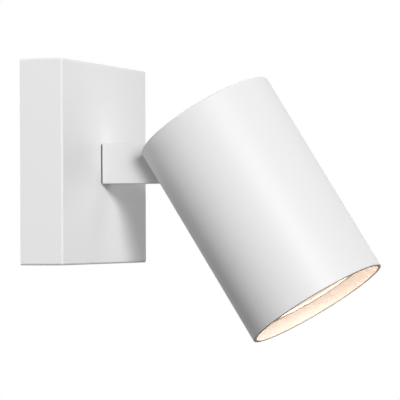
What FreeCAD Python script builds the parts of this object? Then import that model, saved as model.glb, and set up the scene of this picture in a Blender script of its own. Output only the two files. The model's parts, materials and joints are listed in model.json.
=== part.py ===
import FreeCAD, Part
import math
import os

# Pivoting spotlight wall light, in millimetres.
# Origin: middle of the backplate's wall side, on the wall. +Y points into the wall, so the light stands out
# along -Y. +X is to the right for someone facing the wall, and +Z is up. The arm swivels about the Y axis,
# and the head tilts about an axis along X. The solids are made at the resting pose, with the head pointing
# down.

V = FreeCAD.Vector
RIGHT = V(1, 0, 0)
TO_WALL = V(0, 1, 0)
TO_ROOM = V(0, -1, 0)
UP = V(0, 0, 1)
DOWN = V(0, 0, -1)

# ---- Backplate cover ----
PLATE_WIDTH = 105.0
PLATE_HEIGHT = 90.0
PLATE_DEPTH = 20.0
PLATE_WALL = 1.2
PLATE_EDGE_RADIUS = 1.0
PLATE_INNER_RADIUS = 0.5

# ---- Stiffening plate behind the cover's front, with the swivel's stop lug ----
STIFFENER_SIDE = 36.0
STIFFENER_THICKNESS = 1.5
STIFFENER_CORNER_RADIUS = 4.0
STOP_RADIUS = 11.0          # from the swivel axis to the inner side of the lug
STOP_LUG_WIDTH = 2.0
STOP_LUG_LENGTH = 2.0       # radially
STOP_OVERLAP = 2.0          # how far the washer's tab reaches past the lug's inner side
STOP_LUG_RISE = 2.4

# ---- Wall bracket ----
BRACKET_WIDTH = 88.0
BRACKET_THICKNESS = 1.5
BRACKET_CORNER_RADIUS = 5.0
COVER_CLEARANCE = 0.3       # between the bracket's tabs and the inside of the cover
TAB_WIDTH = 18.0
TAB_DEPTH = 13.0
TAB_BEND_RADIUS = 1.4
TAB_SCREW_INSET = 8.0       # from the wall to the cover screws' axis
WALL_SLOT_SPACING = 55.0
WALL_SLOT_LENGTH = 14.0
WALL_SLOT_WIDTH = 4.8
CABLE_HOLE_RADIUS = 6.5
CABLE_HOLE_RAISE = 19.5      # from the bracket's lower end to the hole's axis

# ---- Cable grommet ----
GROMMET_BORE_RADIUS = 4.5
GROMMET_FLANGE_RADIUS = 9.0
GROMMET_FLANGE_RISE = 2.5
GROMMET_FIT = 0.05
GROMMET_EDGE_RADIUS = 0.8

# ---- Screws: radius of the shank, and the clearance round it ----
SCREW_FIT = 0.05            # in a tapped hole
PASS_FIT = 0.15             # in a plain hole
COVER_SCREW_RADIUS = 2.0
COVER_SCREW_LENGTH = 6.0
COVER_SCREW_INSET = 0.3     # below the cover's outer face
COVER_SCREW_SOCKET = 2.0    # across flats
COVER_SCREW_SOCKET_DEPTH = 2.5
BLOCK_SCREW_RADIUS = 1.5
BLOCK_SCREW_HEAD_RADIUS = 2.0
BLOCK_SCREW_HEAD_RISE = 1.6
EARTH_SCREW_RADIUS = 2.0
EARTH_SCREW_HEAD_RADIUS = 3.6
EARTH_SCREW_HEAD_RISE = 2.4
CROSS_SLOT_WIDTH = 0.8
CROSS_SLOT_DEPTH = 0.9
DOME_SHARE = 0.4            # share of a screw head's rise that its rounded edge takes up
CROSS_SLOT_SHARE = 0.6      # share of a screw head's radius that its cross slot reaches

# ---- Terminal block: three poles in a row along X, wires enter along Z ----
POLE_COUNT = 3
POLE_PITCH = 10.0
BLOCK_HEIGHT = 17.0
BLOCK_DEPTH = 12.0
BLOCK_HEADROOM = 9.0        # from the block's top to the bracket's top
BLOCK_EDGE_RADIUS = 0.6
BLOCK_GROOVE_WIDTH = 1.2
BLOCK_GROOVE_DEPTH = 4.0
CLAMP_AXIS_RISE = 5.5       # from the bracket's front to the clamps' axis
CLAMP_RADIUS = 2.6
CLAMP_BORE_RADIUS = 1.4
CLAMP_LENGTH = 15.0
CLAMP_FIT = 0.05
CLAMP_SCREW_RADIUS = 1.25
CLAMP_SCREW_OFFSET = 4.0    # along the clamp from its middle
CLAMP_SCREW_LENGTH = 4.0
CLAMP_SCREW_PORT_RADIUS = 1.9

# ---- Earth point on the bracket ----
EARTH_POINT_X = 30.0
EARTH_POINT_DROP = 8.0      # from the block's middle down to the earth screw
EARTH_RING_RADIUS = 5.0
EARTH_RING_THICKNESS = 0.8
EARTH_BARREL_RADIUS = 1.5
EARTH_BARREL_LENGTH = 6.0
EARTH_BARREL_LIFT = 0.1     # from the ring's seat to the barrel
EARTH_BARREL_GAP = 0.3      # between the barrel and the head of the screw beside it

# ---- Arm ----
ARM_THICKNESS = 13.0
ARM_HEIGHT = 18.0
ARM_REACH = 60.0            # from the cover's front to the tilt axis
ARM_EDGE_RADIUS = 0.4
ARM_CHANNEL_RADIUS = 3.0
WINDOW_LENGTH = 11.5        # opening in the arm's underside, where the leads come out
WINDOW_WIDTH = 6.0
WINDOW_SETBACK = 10.0       # from the tilt axis to the window's near end

# ---- Swivel ----
SWIVEL_GAP = 0.7            # the gap washer's thickness, the dark line in front of the cover
GAP_WASHER_RADIUS = 6.0
STUD_RADIUS = 4.0
STUD_BORE_RADIUS = 2.6
STUD_THREAD_DEPTH = 12.0    # length of stud inside the arm
STUD_FLAT = 3.4             # from the stud's axis to the flat that keys the stop washer
STUD_PROUD = 1.0            # length of stud past the nut
SWIVEL_FIT = 0.06
STOP_WASHER_RADIUS = 9.0
STOP_WASHER_THICKNESS = 1.2
SPRING_WASHER_RADIUS = 6.8
SPRING_WASHER_THICKNESS = 1.0
SPRING_WASHER_SPLIT = 1.0
SWIVEL_NUT_FLATS = 13.0
SWIVEL_NUT_THICKNESS = 3.5

# ---- Lamp, with a twist-lock base ----
LAMP_DIAMETER = 50.0
LAMP_LENGTH = 46.5          # from the base's seat to the front
LAMP_RIM_DEPTH = 4.5
LAMP_WALL = 1.6
LAMP_BASE_RADIUS = 14.0
LAMP_BASE_LENGTH = 13.0
LAMP_NECK_RADIUS = 15.5
LAMP_BASE_BEVEL = 1.5
LENS_THICKNESS = 2.0
LENS_INSET = 0.8
LENS_FIT = 0.05
LENS_LIP = 2.2              # width of the lamp's rim round the lens
LENS_EDGE_RADIUS = 0.5
BOARD_THICKNESS = 1.6
BOARD_SETBACK = 9.0         # from the lamp's front to the board
PIN_OFFSET = 5.0            # from the lamp's axis to each pin's axis
PIN_RADIUS = 1.55
PIN_HEAD_RADIUS = 2.45
PIN_HEAD_LENGTH = 3.2
PIN_NECK_LENGTH = 3.2
PIN_FIT = 0.3
LAMP_TWIST = 30.0           # degrees from locked to unlocked

# ---- Lampholder ----
HOLDER_LENGTH = 30.0
HOLDER_WIDTH = 18.0
HOLDER_DEPTH = 10.5
HOLDER_CORNER_RADIUS = 4.0
HOLDER_FACE = 3.0           # thickness of the face that the pin heads lock behind
HOLDER_CHAMBER = 5.0        # depth of the space behind that face
HOLDER_SCREW_OFFSET = 11.3
HOLDER_SCREW_RADIUS = 1.5
HOLDER_SCREW_HEAD_RADIUS = 2.7
HOLDER_SCREW_HEAD_RISE = 2.0
HOLDER_SCREW_RECESS = 2.6
HOLDER_SCREW_PROUD = 1.5    # length of screw past the hinge plate
CONTACT_WIDTH = 3.6
CONTACT_GAP = 0.1           # between a pin and its contact
LEAD_PORT_OFFSET = 10.0     # along the holder, from its middle to each lead's port
LEAD_PORT_DEPTH = 3.0
LEAD_PORT_RISE = 3.0        # from the hinge plate to the ports' axis

# ---- Tilt hinge ----
PIVOT_SETBACK = 24.5        # from the head's rear face to the tilt axis
FRICTION_WASHER_THICKNESS = 0.5
FRICTION_WASHER_INSET = 2.0 # from the arm's round end to the washers' edge
EAR_THICKNESS = 1.5
HINGE_PLATE_THICKNESS = 1.5
HINGE_PLATE_WIDTH = 20.0
HINGE_PLATE_OVERHANG = 5.0  # past the pillars' axes
HINGE_PLATE_CORNER_RADIUS = 4.0
KNUCKLE_CLEARANCE = 1.0     # between the arm's round end and the hinge plate
PIVOT_BOLT_RADIUS = 2.5
PIVOT_FIT = 0.06
PIVOT_FLATS = 8.0
PIVOT_HEAD_RISE = 3.5
PIVOT_NUT_THICKNESS = 4.0
PIVOT_SPRING_THICKNESS = 1.1
PIVOT_SPRING_RADIUS = 4.2
PIVOT_PROUD = 1.2           # length of bolt past the nut

# ---- Head ----
LAMP_SIDE_GAP = 6.0         # between the lamp and the inside of the head
LAMP_RECESS = 5.3           # from the head's rim back to the lamp's front
HEAD_WALL = 1.5
HEAD_RIM_RADIUS = 0.3
CAP_THICKNESS = 2.0
CAP_EDGE_RADIUS = 0.8
CAP_SPIGOT_DEPTH = 3.0      # how far the cap's spigot reaches into the tube
CAP_SPIGOT_WALL = 1.5
CAP_FIT = 0.05              # between the spigot and the tube
SLOT_CLEARANCE = 0.6        # round the arm, where it goes through the head
TILT_REST = 58.0            # degrees that the head points below the horizontal
PILLAR_SPACING = 41.5
PILLAR_RADIUS = 4.5
PILLAR_SCREW_RADIUS = 2.0
PILLAR_SCREW_HEAD_RADIUS = 3.5
PILLAR_SCREW_HEAD_RISE = 2.4
PILLAR_SCREW_REACH = 9.0    # length of screw inside the pillar
PILLAR_HOLE_DEPTH = 12.0

# ---- Leads ----
LEAD_RADIUS = 0.9
LEAD_GAP = 0.2              # between neighbouring leads in the stud
LEAD_FIT = 0.1              # round a lead's end in its port or barrel
LEAD_GRIP = 5.5             # length of lead inside its clamp
LEAD_SPLIT = 25.0           # from the tilt axis to where the arm's leads meet the head's
ARC_SHARE = 0.45            # share of a run that a bend takes up
TURN_RISE = 1.0             # from halfway behind the swivel to where the block's leads turn up
SWAY = 0.5                  # how far the block's leads lean while they run up
CLAMP_APPROACH = 5.0        # straight run below a clamp
EARTH_CREST = 6.5           # height of the earth lead's crest over the clamps
EARTH_CREST_DROP = 5.5      # from the crest down to the corner above the earth ring
EARTH_CREST_SHIFT = 2.0
EARTH_CREST_LIFT = 1.5
EARTH_CREST_FALL = 0.5
EXIT_NEAR = 13.0            # from the tilt axis to where the neutral lead turns down
EXIT_FAR = 17.0             # from the tilt axis to where the other two turn down
EXIT_DROP = 2.5             # below the arm
EXIT_SPREAD = 0.4
EXIT_LEAN = 0.6
LOOP_SPREAD = 5.0           # from the middle to the lowest bend of the live and the neutral loop
LOOP_BACK = 4.0
LOOP_DROP = 11.0
EARTH_LOOP_SPREAD = 9.0
EARTH_LOOP_BACK = 3.0
EARTH_LOOP_DROP = 7.0
PORT_RUN = 12.0             # straight run in front of a port or a barrel

# ---- Modelling ----
OVERCUT = 1.0               # how far a cut runs past the solid that it goes through
SAME_PLACE = 0.01           # two places closer than this count as one

# ---- Places that follow from the sizes above ----
COVER_FRONT = -PLATE_DEPTH
COVER_INSIDE = COVER_FRONT + PLATE_WALL
STACK_START = COVER_INSIDE + STIFFENER_THICKNESS
STOP_WASHER_END = STACK_START + STOP_WASHER_THICKNESS
SPRING_WASHER_END = STOP_WASHER_END + SPRING_WASHER_THICKNESS
SWIVEL_NUT_END = SPRING_WASHER_END + SWIVEL_NUT_THICKNESS
STUD_END = SWIVEL_NUT_END + STUD_PROUD
ARM_START = COVER_FRONT - SWIVEL_GAP
STUD_START = ARM_START - STUD_THREAD_DEPTH
PIVOT_Y = COVER_FRONT - ARM_REACH
PIVOT = V(0, PIVOT_Y, 0)
LEAD_SPLIT_Y = PIVOT_Y + LEAD_SPLIT
KNUCKLE_RADIUS = ARM_HEIGHT / 2
EAR_RADIUS = KNUCKLE_RADIUS
FRICTION_WASHER_RADIUS = KNUCKLE_RADIUS - FRICTION_WASHER_INSET
EARTH_BARREL_RISE = EARTH_BARREL_LIFT + EARTH_BARREL_RADIUS

BRACKET_FRONT = -BRACKET_THICKNESS
BRACKET_TOP = PLATE_HEIGHT / 2 - PLATE_WALL - COVER_CLEARANCE
BLOCK_RAISE = BRACKET_TOP - BLOCK_HEADROOM - BLOCK_HEIGHT / 2
EARTH_POINT_Z = BLOCK_RAISE - EARTH_POINT_DROP
CABLE_HOLE_DROP = BRACKET_TOP - CABLE_HOLE_RAISE
POLES = [(index - (POLE_COUNT - 1) / 2) * POLE_PITCH for index in range(POLE_COUNT)]
CLAMP_Y = BRACKET_FRONT - CLAMP_AXIS_RISE
CLAMP_LOW = BLOCK_RAISE - CLAMP_LENGTH / 2
CLAMP_HIGH = BLOCK_RAISE + CLAMP_LENGTH / 2

# In the head's own frame the tilt axis is the X axis, the head's axis is the Z axis, and its mouth is down.
HEAD_TOP = PIVOT_SETBACK
CAP_SEAT = HEAD_TOP - CAP_THICKNESS
HINGE_PLATE_TOP = -(KNUCKLE_RADIUS + KNUCKLE_CLEARANCE)
HINGE_PLATE_UNDER = HINGE_PLATE_TOP - HINGE_PLATE_THICKNESS
HOLDER_FRONT = HINGE_PLATE_UNDER - HOLDER_DEPTH
LAMP_FRONT = HOLDER_FRONT - LAMP_LENGTH
HEAD_MOUTH = LAMP_FRONT - LAMP_RECESS
HEAD_BORE_RADIUS = LAMP_DIAMETER / 2 + LAMP_SIDE_GAP
HEAD_RADIUS = HEAD_BORE_RADIUS + HEAD_WALL
EAR_INSIDE = ARM_THICKNESS / 2 + FRICTION_WASHER_THICKNESS
EAR_OUTSIDE = EAR_INSIDE + EAR_THICKNESS
CHAMBER_FLOOR = HOLDER_FRONT + HOLDER_FACE + HOLDER_CHAMBER
LEAD_PORT_Z = HINGE_PLATE_UNDER - LEAD_PORT_RISE
HEAD_LEAN = TILT_REST - 90.0


# ---- Shape helpers ----
def box(low, high):
    """A box between two opposite corners."""
    size = high - low
    return Part.makeBox(size.x, size.y, size.z, low)


def rod(radius, start, end):
    """A cylinder from one point to another."""
    way = end - start
    return Part.makeCylinder(radius, way.Length, start, way)


def tube(radius, bore, start, end):
    """A cylinder with a bore all the way through."""
    return rod(radius, start, end).cut(rod(bore, start, end))


def prism(flats, start, end):
    """A hexagonal bar between two points, with a size across its flats."""
    way = V(end - start).normalize()
    side = way.cross(UP if abs(way.z) < 0.5 else RIGHT).normalize()
    lift = way.cross(side)
    reach = flats / 2 / math.cos(math.radians(30))
    corners = []
    for step in range(7):
        angle = math.radians(60 * step + 30)
        corners.append(start + side * (reach * math.cos(angle)) + lift * (reach * math.sin(angle)))
    return Part.Face(Part.makePolygon(corners)).extrude(end - start)


def upright_slab(width, height, low_y, high_y, radius):
    """A slab parallel to the wall, centred on the swivel axis, with rounded corners."""
    slab = box(V(-width / 2, low_y, -height / 2), V(width / 2, high_y, height / 2))
    return slab.makeFillet(radius, edges_along(slab, TO_WALL))


def edges_along(shape, way):
    """The straight edges of a shape that run along a direction."""
    found = []
    for edge in shape.Edges:
        if edge.Curve.TypeId == "Part::GeomLine" and edge.Curve.Direction.cross(way).Length < SAME_PLACE:
            found.append(edge)
    return found


def turned(profile):
    """A solid turned about the Z axis from (radius, z) points."""
    points = [V(radius, 0, z) for radius, z in profile]
    face = Part.Face(Part.makePolygon(points + points[:1]))
    return face.revolve(V(0, 0, 0), UP, 360)


def curved_slot(offset, half_width, low_z, high_z, first, last):
    """A slot bent round the Z axis from one angle to another, in degrees, with round ends."""
    ring = tube(offset + half_width, offset - half_width, V(0, 0, low_z), V(0, 0, high_z))
    reach = 2 * (offset + half_width)
    wedge = Part.makePolygon([
        V(0, 0, low_z),
        V(reach * math.cos(math.radians(first)), reach * math.sin(math.radians(first)), low_z),
        V(reach * math.cos(math.radians(last)), reach * math.sin(math.radians(last)), low_z),
        V(0, 0, low_z),
    ])
    slot = ring.common(Part.Face(wedge).extrude(V(0, 0, high_z - low_z)))
    for angle in (first, last):
        place = V(offset * math.cos(math.radians(angle)), offset * math.sin(math.radians(angle)), 0)
        slot = slot.fuse(rod(half_width, place + UP * low_z, place + UP * high_z))
    return slot.removeSplitter()


def driven_head(radius, rise, seat, way):
    """A domed screw head with a cross slot, standing on its seat."""
    head = rod(radius, seat, seat + way * rise)
    top = [edge for edge in head.Edges if abs((edge.CenterOfMass - seat).dot(way) - rise) < SAME_PLACE]
    head = head.makeFillet(rise * DOME_SHARE, top)
    side = way.cross(UP if abs(way.z) < 0.5 else RIGHT).normalize()
    for across in (side, way.cross(side)):
        other = way.cross(across)
        half = across * (radius * CROSS_SLOT_SHARE) + other * (CROSS_SLOT_WIDTH / 2)
        first = seat + way * (rise - CROSS_SLOT_DEPTH) - half
        last = seat + way * (rise + OVERCUT) + half
        low = V(min(first.x, last.x), min(first.y, last.y), min(first.z, last.z))
        high = V(max(first.x, last.x), max(first.y, last.y), max(first.z, last.z))
        head = head.cut(box(low, high))
    return head


def rounded_route(points):
    """Straight runs through the points, joined by arcs that touch them, and the arcs' radii."""
    edges = []
    radii = []
    here = points[0]
    for before, corner, after in zip(points, points[1:], points[2:]):
        run_in = corner - before
        run_out = after - corner
        half_turn = run_in.getAngle(run_out) / 2
        reach = ARC_SHARE * min(run_in.Length, run_out.Length)
        radius = reach / math.tan(half_turn)
        way_in = V(run_in).normalize()
        way_out = V(run_out).normalize()
        arc_start = corner - way_in * reach
        arc_end = corner + way_out * reach
        inward = (way_out - way_in).normalize()
        arc_middle = corner + inward * (radius / math.cos(half_turn) - radius)
        edges.append(Part.LineSegment(here, arc_start).toShape())
        edges.append(Part.Arc(arc_start, arc_middle, arc_end).toShape())
        radii.append(radius)
        here = arc_end
    edges.append(Part.LineSegment(here, points[-1]).toShape())
    return Part.Wire(edges), radii


def lead(name, points):
    """An insulated lead along a route, from its first point to its last."""
    route, radii = rounded_route(points)
    ring = Part.Wire(Part.makeCircle(LEAD_RADIUS, points[0], points[1] - points[0]))
    solid = route.makePipeShell([ring], True, False)
    expected = math.pi * LEAD_RADIUS ** 2 * route.Length
    bends = ", ".join(f"{radius:.1f}" for radius in radii) or "none"
    print(f"{name}: length {route.Length:.1f}, bends {bends}, volume ratio {solid.Volume / expected:.4f}")
    return solid


def in_head(shape):
    """Take a shape from the head's own frame to the resting pose."""
    placed = shape.copy()
    placed.rotate(V(0, 0, 0), RIGHT, HEAD_LEAN)
    placed.translate(PIVOT)
    return placed


def head_point(x, y, z):
    """Take a point from the head's own frame to the resting pose."""
    lean = math.radians(HEAD_LEAN)
    return PIVOT + V(x, y * math.cos(lean) - z * math.sin(lean), y * math.sin(lean) + z * math.cos(lean))


def both_sides(make):
    """The same piece made on the -X and the +X side."""
    return [make(-1), make(1)]


# ---- Fixed to the wall ----
def backplate_cover():
    """Box-shaped cover, open at the wall."""
    outer = box(V(-PLATE_WIDTH / 2, COVER_FRONT, -PLATE_HEIGHT / 2), V(PLATE_WIDTH / 2, 0, PLATE_HEIGHT / 2))
    outer = outer.makeFillet(PLATE_EDGE_RADIUS, edges_off_wall(outer))
    inside = V(PLATE_WIDTH / 2 - PLATE_WALL, 0, PLATE_HEIGHT / 2 - PLATE_WALL)
    hollow = box(V(-inside.x, COVER_INSIDE, -inside.z), V(inside.x, 0, inside.z))
    hollow = hollow.makeFillet(PLATE_INNER_RADIUS, edges_off_wall(hollow))
    cover = outer.cut(hollow)
    stud_hole = rod(STUD_RADIUS + SWIVEL_FIT, V(0, COVER_FRONT, 0), V(0, COVER_INSIDE, 0))
    low = cover_screw_place(-PLATE_HEIGHT)
    high = cover_screw_place(PLATE_HEIGHT)
    return cover.cut(stud_hole).cut(rod(COVER_SCREW_RADIUS + PASS_FIT, low, high))


def edges_off_wall(shape):
    """The edges of a box that don't lie on the wall."""
    return [edge for edge in shape.Edges if edge.CenterOfMass.y < -SAME_PLACE]


def cover_screw_place(z):
    """A point on the axis that both cover screws share."""
    return V(0, -TAB_SCREW_INSET, z)


def swivel_plate():
    """Stiffening plate behind the cover's front, with the lug that ends the swivel's turn."""
    plate = upright_slab(STIFFENER_SIDE, STIFFENER_SIDE, COVER_INSIDE, STACK_START, STIFFENER_CORNER_RADIUS)
    lug = box(
        V(-STOP_LUG_WIDTH / 2, COVER_INSIDE, -STOP_RADIUS - STOP_LUG_LENGTH),
        V(STOP_LUG_WIDTH / 2, STACK_START + STOP_LUG_RISE, -STOP_RADIUS),
    )
    stud_hole = rod(STUD_RADIUS + SWIVEL_FIT, V(0, COVER_INSIDE, 0), V(0, STACK_START, 0))
    return plate.fuse(lug).removeSplitter().cut(stud_hole)


def wall_bracket():
    """Steel plate on the wall, with two bent tabs that the cover's screws sit in."""
    plate_height = 2 * (BRACKET_TOP - TAB_BEND_RADIUS)
    bracket = upright_slab(BRACKET_WIDTH, plate_height, BRACKET_FRONT, 0, BRACKET_CORNER_RADIUS)
    for side in (-1, 1):
        bracket = bracket.fuse(bracket_tab(side))
    bracket = bracket.removeSplitter()
    for side in (-1, 1):
        bracket = bracket.cut(wall_slot(side))
    cable_hole = rod(CABLE_HOLE_RADIUS, V(0, BRACKET_FRONT, -CABLE_HOLE_DROP), V(0, 0, -CABLE_HOLE_DROP))
    cover_screws_hole = rod(
        COVER_SCREW_RADIUS + SCREW_FIT, cover_screw_place(-PLATE_HEIGHT), cover_screw_place(PLATE_HEIGHT)
    )
    bracket = bracket.cut(cable_hole).cut(cover_screws_hole)
    for place in block_screw_places():
        bracket = bracket.cut(rod(BLOCK_SCREW_RADIUS + SCREW_FIT, place + TO_ROOM * BRACKET_THICKNESS, place))
    place = V(EARTH_POINT_X, 0, EARTH_POINT_Z)
    return bracket.cut(rod(EARTH_SCREW_RADIUS + SCREW_FIT, place + TO_ROOM * BRACKET_THICKNESS, place))


def bracket_tab(side):
    """One bent tab, at the top (1) or the bottom (-1) of the bracket."""
    outer = box(V(-TAB_WIDTH / 2, -TAB_DEPTH, 0), V(TAB_WIDTH / 2, 0, BRACKET_TOP))
    bend = [
        edge for edge in outer.Edges
        if abs(edge.CenterOfMass.y) < SAME_PLACE and abs(edge.CenterOfMass.z - BRACKET_TOP) < SAME_PLACE
    ]
    outer = outer.makeFillet(TAB_BEND_RADIUS, bend)
    hollow = box(
        V(-TAB_WIDTH, -TAB_DEPTH, -BRACKET_TOP), V(TAB_WIDTH, BRACKET_FRONT, BRACKET_TOP - BRACKET_THICKNESS)
    )
    tab = outer.cut(hollow)
    if side < 0:
        tab.rotate(V(0, 0, 0), TO_WALL, 180)
    return tab


def wall_slot(side):
    """One slotted hole for a wall screw, longer along X."""
    half = (WALL_SLOT_LENGTH - WALL_SLOT_WIDTH) / 2
    middle = side * WALL_SLOT_SPACING / 2
    radius = WALL_SLOT_WIDTH / 2
    slot = box(V(middle - half, BRACKET_FRONT, -radius), V(middle + half, 0, radius))
    for end in (middle - half, middle + half):
        slot = slot.fuse(rod(radius, V(end, BRACKET_FRONT, 0), V(end, 0, 0)))
    return slot


def cover_screws():
    """Two headless screws in the bracket's tabs, backed out into the cover's holes."""
    top = PLATE_HEIGHT / 2 - COVER_SCREW_INSET
    screws = []
    for side in (-1, 1):
        outer = cover_screw_place(side * top)
        inner = cover_screw_place(side * (top - COVER_SCREW_LENGTH))
        socket_end = cover_screw_place(side * (top - COVER_SCREW_SOCKET_DEPTH))
        screw = rod(COVER_SCREW_RADIUS, inner, outer)
        screws.append(screw.cut(prism(COVER_SCREW_SOCKET, outer, socket_end)))
    return Part.makeCompound(screws)


def cable_grommet():
    """Rubber bush in the bracket's cable hole, with its flange on the room side."""
    front = BRACKET_FRONT - GROMMET_FLANGE_RISE
    middle = V(0, 0, -CABLE_HOLE_DROP)
    flange = rod(GROMMET_FLANGE_RADIUS, middle + TO_WALL * front, middle + TO_WALL * BRACKET_FRONT)
    rounded = [edge for edge in flange.Edges if abs(edge.CenterOfMass.y - front) < SAME_PLACE]
    flange = flange.makeFillet(GROMMET_EDGE_RADIUS, rounded)
    neck = rod(CABLE_HOLE_RADIUS - GROMMET_FIT, middle + TO_WALL * BRACKET_FRONT, middle)
    return flange.fuse(neck).cut(rod(GROMMET_BORE_RADIUS, middle + TO_WALL * front, middle))


def block_screw_places():
    """Points on the wall behind the two screws that hold the terminal block."""
    return [V((first + last) / 2, 0, BLOCK_RAISE) for first, last in zip(POLES, POLES[1:])]


def terminal_block():
    """Plastic block with a round tunnel for each clamp and ports for the clamps' screws."""
    half_length = POLE_COUNT * POLE_PITCH / 2
    low_z = BLOCK_RAISE - BLOCK_HEIGHT / 2
    high_z = BLOCK_RAISE + BLOCK_HEIGHT / 2
    front = BRACKET_FRONT - BLOCK_DEPTH
    block = box(V(-half_length, front, low_z), V(half_length, BRACKET_FRONT, high_z))
    block = block.makeFillet(BLOCK_EDGE_RADIUS, edges_along(block, UP))
    for place in block_screw_places():
        groove = box(
            V(place.x - BLOCK_GROOVE_WIDTH / 2, front, low_z),
            V(place.x + BLOCK_GROOVE_WIDTH / 2, front + BLOCK_GROOVE_DEPTH, high_z),
        )
        mouth = V(place.x, front, place.z)
        shank = rod(BLOCK_SCREW_RADIUS + PASS_FIT, mouth, V(place.x, BRACKET_FRONT, place.z))
        recess = rod(BLOCK_SCREW_HEAD_RADIUS + PASS_FIT, mouth, mouth + TO_WALL * BLOCK_GROOVE_DEPTH)
        block = block.cut(groove).cut(shank).cut(recess)
    for pole in POLES:
        block = block.cut(rod(CLAMP_RADIUS + CLAMP_FIT, V(pole, CLAMP_Y, low_z), V(pole, CLAMP_Y, high_z)))
        for port in clamp_screw_heights():
            block = block.cut(rod(CLAMP_SCREW_PORT_RADIUS, V(pole, front, port), V(pole, CLAMP_Y, port)))
    return block


def clamp_screw_heights():
    """Heights of the two screws of each clamp."""
    return [BLOCK_RAISE - CLAMP_SCREW_OFFSET, BLOCK_RAISE + CLAMP_SCREW_OFFSET]


def terminal_clamps():
    """Brass tubes that join the leads to the supply."""
    clamps = []
    for pole in POLES:
        low = V(pole, CLAMP_Y, CLAMP_LOW)
        clamp = tube(CLAMP_RADIUS, CLAMP_BORE_RADIUS, low, V(pole, CLAMP_Y, CLAMP_HIGH))
        for port in clamp_screw_heights():
            outside = V(pole, CLAMP_Y - CLAMP_RADIUS - OVERCUT, port)
            hole = rod(CLAMP_SCREW_RADIUS + SCREW_FIT, outside, V(pole, CLAMP_Y, port))
            clamp = clamp.cut(hole)
        clamps.append(clamp)
    return Part.makeCompound(clamps)


def terminal_screws():
    """Slotted screws that press on the leads in the clamps."""
    tip = CLAMP_Y - LEAD_RADIUS - SCREW_FIT
    head = tip - CLAMP_SCREW_LENGTH
    screws = []
    for pole in POLES:
        for port in clamp_screw_heights():
            screw = rod(CLAMP_SCREW_RADIUS, V(pole, head, port), V(pole, tip, port))
            slot = box(
                V(pole - CLAMP_SCREW_RADIUS, head, port - CROSS_SLOT_WIDTH / 2),
                V(pole + CLAMP_SCREW_RADIUS, head + CROSS_SLOT_DEPTH, port + CROSS_SLOT_WIDTH / 2),
            )
            screws.append(screw.cut(slot))
    return Part.makeCompound(screws)


def block_screws():
    """Screws that hold the terminal block to the bracket."""
    seat = BRACKET_FRONT - BLOCK_DEPTH + BLOCK_GROOVE_DEPTH
    screws = []
    for place in block_screw_places():
        on_seat = V(place.x, seat, place.z)
        shank = rod(BLOCK_SCREW_RADIUS, on_seat, V(place.x, 0, place.z))
        head = driven_head(BLOCK_SCREW_HEAD_RADIUS, BLOCK_SCREW_HEAD_RISE, on_seat, TO_ROOM)
        screws.append(shank.fuse(head))
    return Part.makeCompound(screws)


def earth_ring():
    """Ring tag under the bracket's earth screw, with a barrel that opens upwards."""
    seat = V(EARTH_POINT_X, BRACKET_FRONT, EARTH_POINT_Z)
    front = seat + TO_ROOM * EARTH_RING_THICKNESS
    barrel_y = BRACKET_FRONT - EARTH_BARREL_RISE
    barrel_z = EARTH_POINT_Z + EARTH_SCREW_HEAD_RADIUS + EARTH_BARREL_GAP
    barrel_start = V(EARTH_POINT_X, barrel_y, barrel_z)
    barrel_end = barrel_start + UP * EARTH_BARREL_LENGTH
    ring = rod(EARTH_RING_RADIUS, front, seat).fuse(rod(EARTH_BARREL_RADIUS, barrel_start, barrel_end))
    ring = ring.cut(rod(EARTH_SCREW_RADIUS + PASS_FIT, front, seat))
    return ring.cut(rod(LEAD_RADIUS + LEAD_FIT, barrel_start + UP * EARTH_RING_THICKNESS, barrel_end))


def earth_screw():
    """Screw of the bracket's earth point."""
    seat = V(EARTH_POINT_X, BRACKET_FRONT - EARTH_RING_THICKNESS, EARTH_POINT_Z)
    shank = rod(EARTH_SCREW_RADIUS, seat, V(EARTH_POINT_X, 0, EARTH_POINT_Z))
    return shank.fuse(driven_head(EARTH_SCREW_HEAD_RADIUS, EARTH_SCREW_HEAD_RISE, seat, TO_ROOM))


def bracket_earth_lead():
    """Lead from the bracket's earth point over the top of the terminal block into its last clamp."""
    barrel_y = BRACKET_FRONT - EARTH_BARREL_RISE
    barrel_z = EARTH_POINT_Z + EARTH_SCREW_HEAD_RADIUS + EARTH_BARREL_GAP + EARTH_RING_THICKNESS
    last_pole = POLES[-1]
    crest = CLAMP_HIGH + EARTH_CREST
    return lead("bracket_earth_lead", [
        V(EARTH_POINT_X, barrel_y, barrel_z),
        V(EARTH_POINT_X, barrel_y, crest - EARTH_CREST_DROP),
        V((EARTH_POINT_X + last_pole) / 2 + EARTH_CREST_SHIFT, CLAMP_Y + EARTH_CREST_LIFT, crest),
        V(last_pole, CLAMP_Y, crest - EARTH_CREST_FALL),
        V(last_pole, CLAMP_Y, CLAMP_HIGH - LEAD_GRIP),
    ])


def lead_offsets():
    """Places of the live, neutral and earth lead round the swivel axis, as (x, z)."""
    spread = (2 * LEAD_RADIUS + LEAD_GAP) / math.sqrt(3)
    low = -spread / 2
    wide = spread * math.cos(math.radians(30))
    return {"live": (-wide, low), "neutral": (0.0, spread), "earth": (wide, low)}


def block_lead(kind, pole):
    """Lead from the end of the hollow stud up into a clamp."""
    x, z = lead_offsets()[kind]
    turn_y = (STUD_END + BRACKET_FRONT) / 2
    return lead(f"block_{kind}_lead", [
        V(x, STUD_END, z),
        V(x, turn_y + TURN_RISE, z),
        V((x + pole) / 2, turn_y + SWAY, z + (CLAMP_LOW - z) / 2 - TURN_RISE),
        V(pole, CLAMP_Y, CLAMP_LOW - CLAMP_APPROACH),
        V(pole, CLAMP_Y, CLAMP_LOW + LEAD_GRIP),
    ])


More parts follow.
